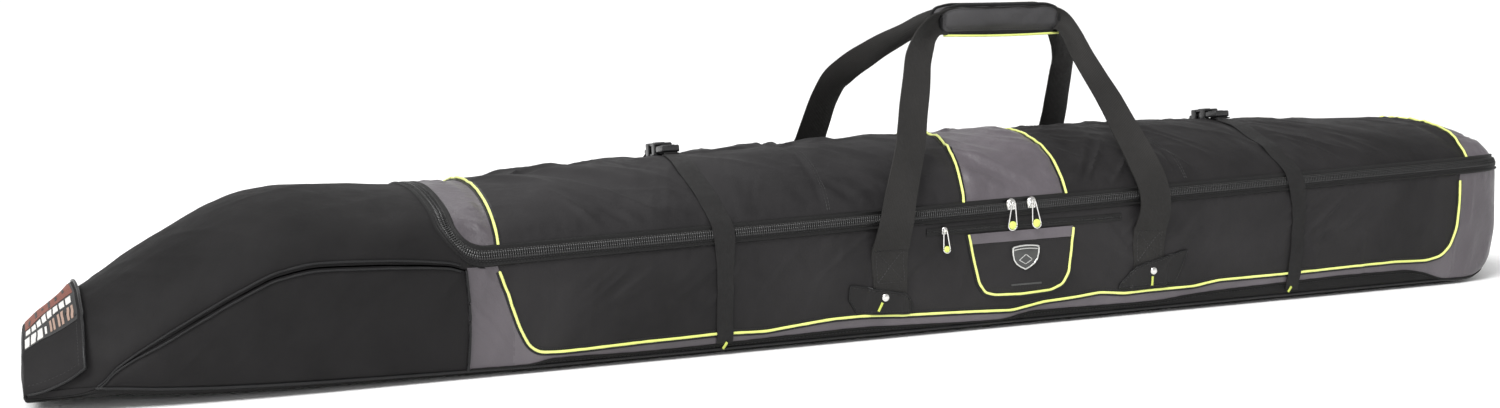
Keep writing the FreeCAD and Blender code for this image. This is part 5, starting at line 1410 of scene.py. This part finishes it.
yc, zc = 7.5, 356.0
FRONT = [(-8, 145.2, 104, 48), (-8, 147.5, 110, 47), (-8, 155, 124, 45), (-7, 160, 142, 43), (0, 154, 164, 42), (14, 138, 190, 42), (32, 116, 218, 42),
         (47, 95, 250, 41), (62, 76, 284, 40), (76, 54, 315, 38), (95, 29, 340, 36), (116, 11, 353, 36), (130, 8.0, 355.5, 36), (160, yc, zc, 36), (228, yc, zc, 36), (290, yc, zc, 36),
         (302, 9, 354, 34), (307, 26, 339, 30), (315, 44, 313, 30), (324, 64, 284, 32), (331, 86, 254, 36), (335, 108, 226, 39), (341, 132, 196, 41),
         (348, 150, 168, 42), (352, 156, 145, 43), (353, 154, 124, 45), (352, 147.5, 110, 47), (352, 145.2, 104, 47)]
REAR = [(0, 145.2, 104, 44), (1, 148, 111, 44), (3, 154, 124, 44), (8, 158, 145, 43), (16, 151, 168, 42), (23, 132, 196, 42), (24, 112, 226, 41), (24, 92, 256, 39),
        (28, 74, 282, 37), (46, 55, 304, 34), (74, 38, 324, 30), (102, 21, 340, 29), (124, 10, 354, 33), (160, yc, zc, 36), (228, yc, zc, 36), (290, yc, zc, 36),
        (306, 9, 355, 36), (324, 20, 344, 35), (343, 40, 324, 36), (356, 60, 300, 37), (368, 86, 264, 39), (380, 112, 226, 41), (387, 132, 196, 42), (377, 150, 168, 42), (372, 157, 145, 42),
        (369, 154, 124, 44), (368, 148, 111, 44), (368, 145.2, 104, 44)]


def handle(path, sign):
    P = resample([(a, b, c, w) for a, b, c, w in path], 3.0)
    for _ in range(16):
        P[1:-1] = (P[:-2] + 2 * P[1:-1] + P[2:]) / 4
    pts, wid = P[:, :3].copy(), P[:, 3]
    pts[:, 1] *= sign
    L = np.concatenate([[0], np.cumsum(np.linalg.norm(np.diff(pts, axis=0), axis=1))])
    T = np.gradient(pts, axis=0)
    T /= np.linalg.norm(T, axis=1, keepdims=True)
    A = np.stack([T[:, 2], 0 * L, -T[:, 0]], axis=-1)
    A /= np.maximum(np.linalg.norm(A, axis=1, keepdims=True), 1e-9)
    A[T[:, 2] < -0.0] *= 1
    # roll the band into a bundle where it enters the grip
    zf = pts[:, 2]
    roll = 0.35 * ramp(zf, 150, 230) + 2.3 * ramp(zf, 308, 350)
    roll = roll * (1 - ramp(pts[:, 0], 122, 145) * (1 - ramp(pts[:, 0], 296, 316)) * 0.5)
    return pts, A, wid, roll


for nm, path, sign in (("front", FRONT, -1), ("rear", REAR, 1)):
    pts, A, wid, roll = handle(path, sign)
    wob = noise(np.arange(len(pts)) * 0.06, np.zeros(len(pts)), 31 if sign < 0 else 37)
    pts[:, 0] += wob * 1.2 * ramp(pts[:, 2], 130, 200) * (1 - ramp(pts[:, 2], 300, 340))
    v = strap(pts, A, wid, 2.1, cup=roll * (1 if sign < 0 else -1) * -1 * (1), sections=13)
    ob = cloth("%s_handle_band" % nm, None, WEB, [v], ["%s_handle_webbing" % nm])
    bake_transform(ob)

# grip: two padded halves closed round the webbing, each swelled by a short cloth simulation
GL, GR, GZ0, GZ1 = 129.0, 304.5, 339.0, 378.0


def grip_half(sign, name, node_name, body):
    bm = bmesh.new()
    bmesh.ops.create_cube(bm, size=1.0)
    bmesh.ops.subdivide_edges(bm, edges=list(bm.edges), cuts=1, use_grid_fill=True)
    me = bpy.data.meshes.new(name)
    d0, d1 = 1.6, 15.6
    for v in bm.verts:
        v.co.x = (GL + GR) / 2 + v.co.x * (GR - GL - 7)
        v.co.y = sign * ((d0 + d1) / 2) + v.co.y * (d1 - d0)
        v.co.z = (GZ0 + GZ1) / 2 + v.co.z * (GZ1 - GZ0 - 5)
    bmesh.ops.bevel(bm, geom=[e for e in bm.edges if e.is_boundary is False and e.calc_face_angle(0) > 1.0], offset=3.5, segments=3, affect="EDGES")
    bm.to_mesh(me)
    bm.free()
    for v in me.vertices:
        v.co = Vector(((v.co.x + SHIFT) / 1000, v.co.y / 1000, v.co.z / 1000))
    ob = bpy.data.objects.new(name, me)
    bpy.context.collection.objects.link(ob)
    bpy.context.view_layer.objects.active = ob
    rm = ob.modifiers.new("remesh", "REMESH")
    rm.mode = "VOXEL"
    rm.voxel_size = 0.0042
    bpy.context.view_layer.update()
    dg = bpy.context.evaluated_depsgraph_get()
    me2 = bpy.data.meshes.new_from_object(ob.evaluated_get(dg))
    ob.modifiers.clear()
    ob.data = me2
    rest = np.array([tuple(v.co) for v in me2.vertices])
    moved = rest.copy()
    cl = ob.modifiers.new("cloth", "CLOTH")
    cl.settings.quality = 5
    cl.settings.mass = 0.3
    cl.settings.tension_stiffness = 15
    cl.settings.compression_stiffness = 15
    cl.settings.bending_stiffness = 0.5
    cl.settings.use_pressure = True
    cl.settings.uniform_pressure_force = 4.0
    cl.settings.effector_weights.gravity = 0.0
    cl.collision_settings.use_collision = False
    cl.collision_settings.use_self_collision = False
    for frame_no in range(1, 21):
        bpy.context.scene.frame_set(frame_no)
    dg = bpy.context.evaluated_depsgraph_get()
    ev = ob.evaluated_get(dg)
    moved = np.array([tuple(v.co) for v in ev.data.vertices])
    ob.modifiers.clear()
    bpy.context.scene.frame_set(1)
    if len(moved) != len(rest):
        moved = rest.copy()
    d = moved - rest
    L = np.linalg.norm(d, axis=1, keepdims=True)
    d = d * np.minimum(1, 0.0035 / np.maximum(L, 1e-9))
    co = rest + d
    # the sewn border: a flat margin inside the binding, the right end slanting down as it is pulled by the webbing
    mm = co * 1000
    mm[:, 0] -= SHIFT
    ax_ = np.minimum(mm[:, 0] - GL, GR - mm[:, 0])
    az_ = np.minimum(mm[:, 2] - GZ0, GZ1 - mm[:, 2])
    b = np.minimum(ax_, az_)
    depth = sign * mm[:, 1]
    outer = ramp(depth, 9, 14)
    mm[:, 1] -= sign * outer * (2.2 * bell(b - 7.0, 2.2) + 1.0 * (1 - ramp(b, 0, 7)))
    mm[:, 1] += sign * outer * 1.5 * noise(mm[:, 0] / 20, mm[:, 2] / 12, 71 + int(sign))
    mm[:, 1] = sign * np.clip(sign * mm[:, 1], 0.9, 20.5)
    mm[:, 2] -= 6.0 * ramp(mm[:, 0], 272, 304) ** 1.6 * ramp(mm[:, 2], 348, 378) + 1.5 * np.sin((mm[:, 0] - GL) / 58.0) * 0.4
    mm[:, 2] -= 4.5 * (1 - ramp(mm[:, 0], 131, 160)) * ramp(mm[:, 2], 350, 378)
    mm[:, 0] += SHIFT
    mm /= 1000
    me2.vertices.foreach_set("co", mm.astype(np.float32).ravel())
    me2.update()
    sub = ob.modifiers.new("sub", "SUBSURF")
    sub.levels = sub.render_levels = 1
    dg = bpy.context.evaluated_depsgraph_get()
    me3 = bpy.data.meshes.new_from_object(ob.evaluated_get(dg))
    ob.modifiers.clear()
    ob.data = me3
    me3.materials.clear()
    me3.materials.append(GRIPC)
    me3.polygons.foreach_set("use_smooth", [True] * len(me3.polygons))
    uvl = me3.uv_layers.new(name="UVMap")
    idx = np.zeros(len(me3.loops), int)
    me3.loops.foreach_get("vertex_index", idx)
    cc = np.array([tuple(v.co) for v in me3.vertices])
    uvl.data.foreach_set("uv", cc[idx][:, [0, 2]].astype(np.float32).ravel())
    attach(ob, body)
    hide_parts(node_name)
    return ob


g_front = grip_half(-1, "grip_pad_front_cloth", "grip_pad_front", "front_handle")
g_rear = grip_half(1, "grip_pad_rear_cloth", "grip_pad_rear", "rear_handle")


def grip_drop(x_, z_):
    return z_ - 6.0 * ramp(x_, 272, 304) ** 1.6 * ramp(z_, 348, 378) - 0.6 * np.sin((x_ - GL) / 58.0) - 4.5 * (1 - ramp(x_, 131, 160)) * ramp(z_, 350, 378)


for nm, sign in (("front", -1), ("rear", 1)):
    rx, rz, rad = (GR - GL) / 2 - 7.2, (GZ1 - GZ0) / 2 - 7.2, 9.0
    t = []
    for cxs, czs, a0 in ((1, 1, 0), (-1, 1, 90), (-1, -1, 180), (1, -1, 270)):
        for k in range(9):
            a = math.radians(a0 + 90 * k / 8)
            t.append(((GL + GR) / 2 + cxs * (rx - rad) + rad * math.cos(a), (GZ0 + GZ1) / 2 + czs * (rz - rad) + rad * math.sin(a)))
    t.append(t[0])
    t = resample(np.array(t), 1.0)
    zz2 = grip_drop(t[:, 0], t[:, 1])
    cc = np.array([tuple(v.co) for v in (g_front if sign < 0 else g_rear).data.vertices]) * 1000
    cc[:, 0] -= SHIFT
    face = cc[sign * cc[:, 1] > 9]
    yv = np.zeros(len(t))
    for i in range(len(t)):
        dd = np.hypot(face[:, 0] - t[i, 0], face[:, 2] - zz2[i])
        k = np.argsort(dd)[:5]
        yv[i] = (face[k, 1] * np.exp(-dd[k])).sum() / np.exp(-dd[k]).sum()
    row = np.stack([t[:, 0], yv + sign * 0.15, zz2], axis=-1)
    stitch_rows("grip_stitches_%s" % nm, "%s_handle" % nm, THREADB, [(row, np.tile([0, sign * 1.0, 0], (len(row), 1)))], "black_fabric", length=2.6, gap=1.3, radius=0.4)
    # bound edge of the wrap
    e = []
    for cxs, czs, a0 in ((1, 1, 0), (-1, 1, 90), (-1, -1, 180), (1, -1, 270)):
        for k in range(9):
            a = math.radians(a0 + 90 * k / 8)
            e.append(((GL + GR) / 2 + cxs * ((GR - GL) / 2 - 2.5 - 9) + 9 * math.cos(a), (GZ0 + GZ1) / 2 + czs * ((GZ1 - GZ0) / 2 - 2 - 9) + 9 * math.sin(a)))
    e.append(e[0])
    e = resample(np.array(e), 2.0)
    ez = grip_drop(e[:, 0], e[:, 1])
    ypos = sign * (3.2 + 8.5 * ramp(ez, 350, 336))
    cloth("grip_binding_%s" % nm, "%s_handle" % nm, BIND, [tube(np.stack([e[:, 0], np.full(len(e), sign * 11.5), ez], axis=-1), 2.3, 8, caps=False, flat=0.8)], [])
gx_ = np.linspace(134, 299, 80)
gp_ = np.stack([gx_, -14.5 + 0 * gx_, 339.2 - 1.6 * np.cos((gx_ - 217) / 55.0)], axis=-1)
cloth("grip_piping_lime", "front_handle", LIMEM, [tube(gp_, 1.45, 10)], ["grip_piping"])
cloth("grip_piping_flange", "front_handle", BPIPE, [tube(gp_ + np.array([0, 2.0, 2.0]), 1.5, 8)], [])

# ------------------------------------------------------------------ sliders and pullers
def slider_mesh(x_, zc_, y_in, scale, tall):
    w = 4.2 * scale
    parts = [lathe([(w * 1.05, 0.0), (w * 1.1, 0.9), (w * 1.0, 2.2), (w * 0.8, 3.2), (w * 0.45, 3.9), (0.3, 4.15)], (x_, y_in, zc_ + 1.8 * scale), (0, -1, 0), 24),
             rounded_box((w * 1.7, 2.2, tall * 0.78), (x_, y_in - 1.2, zc_ - 0.4), 0.9, 3, taper=-0.12)]
    loop = []
    for k in range(17):
        a = math.pi * k / 16
        loop.append((x_ + w * 0.62 * math.cos(a), y_in - 3.4 - 2.6 * math.sin(a), zc_ + tall * 0.28))
    parts.append(tube(np.array(loop), 0.75, 8))
    return parts


def puller_mesh(x_, py_, pz_, length, tab, lean=0.0):
    # bent wire loop: two legs from the pin down to a ring that holds a domed tab
    legs, pts = [], []
    low = pz_ - length + tab
    wtop, wbot = 2.3, tab * 0.86
    pts.append((x_ - 1.2, py_, pz_ + 0.6))
    pts.append((x_ - wtop, py_ - 0.1, pz_ - 1.2))
    pts.append((x_ - wbot, py_, low + tab * 0.45))
    for k in range(17):
        a = math.pi - math.pi * (-k) / 16
        pts.append((x_ + tab * math.cos(a) * 0.95, py_, low + tab * math.sin(a) * 0.95))
    pts.append((x_ + wbot, py_, low + tab * 0.45))
    pts.append((x_ + wtop, py_ - 0.1, pz_ - 1.2))
    pts.append((x_ + 1.2, py_, pz_ + 0.6))
    pts.append((x_ - 1.2, py_, pz_ + 0.6))
    P = resample(np.array(pts), 0.8)
    for _ in range(2):
        P[1:-1] = (P[:-2] + 2 * P[1:-1] + P[2:]) / 4
    P[:, 0] += lean * np.clip((pz_ - P[:, 2]) / (length - tab), 0, 1.2)
    metal = [tube(P, 0.85, 8)]
    prof = [(0.2, -1.9), (tab * 0.40, -1.75), (tab * 0.66, -1.3), (tab * 0.78, -0.6), (tab * 0.78, 0.6), (tab * 0.66, 1.3), (tab * 0.40, 1.75), (0.2, 1.9)]
    tabm = [lathe(prof, (x_ + lean, py_, low), (0, -1, 0), 24)]
    return metal, tabm


def puller_all(name, body, cad, x_, py_, pz_, length, tab, lean=0.0):
    metal, tabm = puller_mesh(x_, py_, pz_, length, tab, lean)
    cloth(name + "_wire", body, METAL, metal, [cad], sharp=60)
    cloth(name + "_tab", body, TAB, tabm, [], sharp=35)


for nm, x_ in (("left", 153.0), ("right", 181.0)):
    zc_ = float(seam_f(x_)) + 15.5
    cloth("main_slider_%s_body" % nm, "slider_" + nm, METAL, slider_mesh(x_, zc_ - 0.5, -143.8, 1.42, 10.5), ["main_slider_" + nm], sharp=35)
puller_all("main_puller_left", "puller_left", "main_puller_left", 153.0, -150.1, 149.19, 32.5, 6.2, -0.6)
puller_all("main_puller_right", "puller_right", "main_puller_right", 181.0, -150.1, 149.79, 32.5, 6.2, 4.5)
cloth("pocket_slider_body", "pocket_slider", METAL, slider_mesh(63.0, 120.6, -143.4, 0.92, 8.5), ["pocket_slider"], sharp=35)
puller_all("pocket_puller_main", "pocket_puller", "pocket_puller", 63.0, -147.0, 122.1, 27.0, 4.7, 2.5)

# ------------------------------------------------------------------ nose flap with its label
fx = np.linspace(-941, -884, 24)
fp = np.linspace(0, 1, 90)


def flap_grid(x0, x1, y0, y1, off, nxn=24, nyn=90, curl=True):
    a, b = np.linspace(0, 1, nxn), np.linspace(0, 1, nyn)
    g = np.zeros((nyn, nxn, 3))
    for j, q in enumerate(b):
        yv = y0 + (y1 - y0) * q
        xs_ = x0 + (x1 - x0) * a
        pp_ = np.array([from_y(xv, yv) for xv in xs_])
        P, n = at(xs_, pp_, off, True)
        rise = 0.0
        if curl:
            edge = ramp(a, 0.72, 1.0)
            rise = edge * (1.2 + 2.4 * ramp(np.array(yv), 60, 122) + 1.4 * ramp(-np.array(yv), 60, 122)) + 1.0 * noise(xs_ / 26, np.full(nxn, yv / 38), 5)
        g[j] = P + n * (np.asarray(rise)[..., None] if np.ndim(rise) else rise)
    return g


nxf, nyf = 30, 96
a, b_ = np.linspace(0, 1, nxf), np.linspace(0, 1, nyf)
Xf = -941.0 + (941.0 - 886.0) * a[None, :] + 0 * b_[:, None]
Xf = Xf + 4.0 * ramp(a, 0.6, 1.0)[None, :] * np.sin(b_ * math.pi)[:, None]
pa_, pb_ = 3.0 + 0.03 + 0.105 * a ** 1.3, 5.0 - 0.03 - 0.105 * a ** 1.3
Pf = pa_[None, :] + (pb_ - pa_)[None, :] * b_[:, None]
P, n = at(Xf, Pf, 4.2, True)
curl = ramp(a, 0.66, 1.0)[None, :] * (1.4 + 3.2 * bell(b_ - 0.62, 0.12) + 1.6 * bell(b_ - 0.03, 0.08))[:, None]
curl = curl + 0.8 * noise(Xf / 26, b_[:, None] * 6.0 + 0 * Xf, 5)
P = P + n * curl[:, :, None]
# the flap comes up over the end of the nose from below
fold = []
for k in range(8, 0, -1):
    t = k / 8.0
    q = P[:, 0].copy()
    q[:, 0] = q[:, 0] - 3.6 * math.sin(t * math.pi / 2)
    q[:, 2] = q[:, 2] - (q[:, 2] - 13.0) * 0.62 * (1 - math.cos(t * math.pi / 2))
    q[:, 1] = q[:, 1] * (1 - 0.02 * t)
    fold.append(q)
G = np.concatenate([np.stack(fold, axis=1), P], axis=1)
NF0 = len(fold)
arcg = np.concatenate([np.zeros((1, G.shape[1])), np.cumsum(np.linalg.norm(np.diff(G, axis=0), axis=2), axis=0)], axis=0)
uvg = np.stack([G[:, :, 0], arcg], axis=-1) * 0.001
cloth("nose_flap_cloth", "nose_flap", NOSE_PAINTED_SHADE, [shell(G, 2.4, uvg)], ["nose_flap"])
hem = [tube(G[:, -1], 1.6, 8), tube(G[0, NF0:], 1.6, 8), tube(G[-1, NF0:], 1.6, 8)]
cloth("nose_flap_hem", "nose_flap", BPIPE, hem, [])
inx = [G[2:-2, -4]] + [G[3, NF0:-3], G[-4, NF0:-3]]
Nf = normals(G)
inn = [Nf[2:-2, -4], Nf[3, NF0:-3], Nf[-4, NF0:-3]]
stitch_rows("nose_flap_stitches", "nose_flap", THREADB, list(zip(inx, inn)), "black_fabric", length=2.6, gap=1.4, radius=0.34)


def flap_piece(ux0, ux1, uy0, uy1, off, skew=0.0):
    nyg, nxg = G.shape[0], G.shape[1] - NF0
    a, b = np.linspace(ux0, ux1, 14), np.linspace(uy0, uy1, 14)
    A, B = np.meshgrid(a * (nxg - 1), b * (nyg - 1))
    B = B + skew * (A - A.mean())
    i, j = np.clip(A.astype(int), 0, nxg - 2) + NF0, np.clip(B.astype(int), 0, nyg - 2)
    fa, fb = (A + NF0 - i)[..., None], (B - j)[..., None]
    P = (G[j, i] * (1 - fa) + G[j, i + 1] * fa) * (1 - fb) + (G[j + 1, i] * (1 - fa) + G[j + 1, i + 1] * fa) * fb
    n = normals(P)
    P = P + n * off
    return shell(P, 0.5, np.stack([A, B], axis=-1) * 0.002)


# printed label: a rust band with darker slashes, rows of white and tan blocks
cloth("flap_label_ground", "nose_flap", LAB_K, [flap_piece(0.02, 0.93, 0.215, 0.80, 0.45)], ["flap_label"])
cloth("flap_label_rust", "nose_flap", LAB_R, [flap_piece(0.03, 0.90, 0.415, 0.78, 0.75)], [])
slash = [flap_piece(0.10 + 0.13 * k, 0.135 + 0.13 * k, 0.43 + 0.03 * (k % 3), 0.52 + 0.05 * (k % 2), 1.0, 0.25) for k in range(6)]
cloth("flap_label_slashes", "nose_flap", LAB_K, slash, [])
wh = [flap_piece(0.03 + 0.115 * k, 0.03 + 0.115 * k + 0.085, 0.225, 0.305, 0.95) for k in range(3)]
wh += [flap_piece(0.385, 0.42, 0.24, 0.295, 0.95)]
wh += [flap_piece(0.05 + 0.105 * k, 0.05 + 0.105 * k + 0.078, 0.335, 0.388, 0.95) for k in range(8)]
cloth("flap_label_white", "nose_flap", LAB_W, wh, [])
tn = [flap_piece(0.48 + 0.15 * k, 0.48 + 0.15 * k + 0.035, 0.235, 0.312, 0.95) for k in range(3)] + [flap_piece(0.54 + 0.15 * k, 0.54 + 0.15 * k + 0.035, 0.235, 0.312, 0.95) for k in range(3)]
cloth("flap_label_tan", "nose_flap", LAB_T, tn, [])
cloth("flap_hook_cloth", "nose_flap", HOOK, [shell(flap_grid(-928, -896, -91, 91, 1.7, 10, 50, False), 0.7)], ["flap_hook_strip"])
cloth("nose_loop_cloth", "tub", HOOK, [shell(flap_grid(-928, -896, -91, 91, 0.85, 10, 50, False), 0.7)], ["nose_loop_strip"])

# ------------------------------------------------------------------ floor, light, camera
fm, nt, b = new_mat("studio_floor")
ob_c = coords(nt, "Object")
nt.links.new(mixc(nt, noise_n(nt, ob_c, 2.0, 3.0), (0.965, 0.965, 0.965), (0.98, 0.98, 0.98)), b.inputs["Base Color"])
b.inputs["Roughness"].default_value = 0.75
b.inputs["Specular IOR Level"].default_value = 0.2
bpy.ops.mesh.primitive_plane_add(size=90, location=(0, 0, -0.0012))
floor = bpy.context.object
floor.name = "studio_floor"
floor.data.materials.append(fm)
world = bpy.data.worlds.new("studio")
bpy.context.scene.world = world
world.use_nodes = True
wt = world.node_tree
bg = wt.nodes["Background"]
tcw = wt.nodes.new("ShaderNodeTexCoord")
sep = wt.nodes.new("ShaderNodeSeparateXYZ")
wt.links.new(tcw.outputs["Generated"], sep.inputs[0])
mr = wt.nodes.new("ShaderNodeMapRange")
mr.interpolation_type = "SMOOTHSTEP"
mr.inputs["From Min"].default_value, mr.inputs["From Max"].default_value = 0.10, 0.55
mr.inputs["To Min"].default_value, mr.inputs["To Max"].default_value = 1.0, 0.55
wt.links.new(sep.outputs["Z"], mr.inputs["Value"])
bg.inputs["Color"].default_value = (1.0, 1.0, 1.0, 1)
wt.links.new(mr.outputs["Result"], bg.inputs["Strength"])


def area(name, loc, target, size, power, color=(1, 1, 1)):
    d = bpy.data.lights.new(name, "AREA")
    d.shape = "RECTANGLE"
    d.size, d.size_y = size
    d.energy = power
    d.color = color
    o = bpy.data.objects.new(name, d)
    bpy.context.collection.objects.link(o)
    o.location = loc
    o.rotation_euler = (Vector(target) - Vector(loc)).to_track_quat("-Z", "Y").to_euler()
    return o


sun_d = bpy.data.lights.new("key_sun", "SUN")
sun_d.energy = 2.3
sun_d.angle = 0.5
sun = bpy.data.objects.new("key_sun", sun_d)
bpy.context.collection.objects.link(sun)
sun.rotation_euler = Vector((-0.95, -0.42, 1.15)).to_track_quat("Z", "Y").to_euler()
area("key", (-0.9, -1.5, 2.6), (0.05, 0, 0.12), (2.2, 1.0), 34)
area("top_back", (-0.3, 1.3, 2.2), (0.0, 0, 0.1), (2.6, 0.7), 16)
area("front_fill", (-1.4, -3.2, 1.1), (-0.3, 0, 0.15), (1.6, 0.8), 12)

cam_data = bpy.data.cameras.new("camera")
cam_data.sensor_width = 36.0
cam_data.lens = 47.52
cam = bpy.data.objects.new("camera", cam_data)
bpy.context.collection.objects.link(cam)
Rv, Uv, Fv = Vector((0.90996, -0.41469, 0)), Vector((0.05771, 0.12664, 0.99027)), Vector((0.41066, 0.90111, -0.13917))
rot = Matrix((Rv, Uv, -Fv)).transposed().to_4x4()
cam.matrix_world = Matrix.Translation(Vector((-1.07338, -2.11670, 0.47172))) @ rot
cam_data.clip_end = 200
bpy.context.scene.camera = cam
bpy.context.scene.view_settings.view_transform = "Standard"
bpy.context.scene.view_settings.look = "None"
bpy.context.scene.view_settings.exposure = 0.0
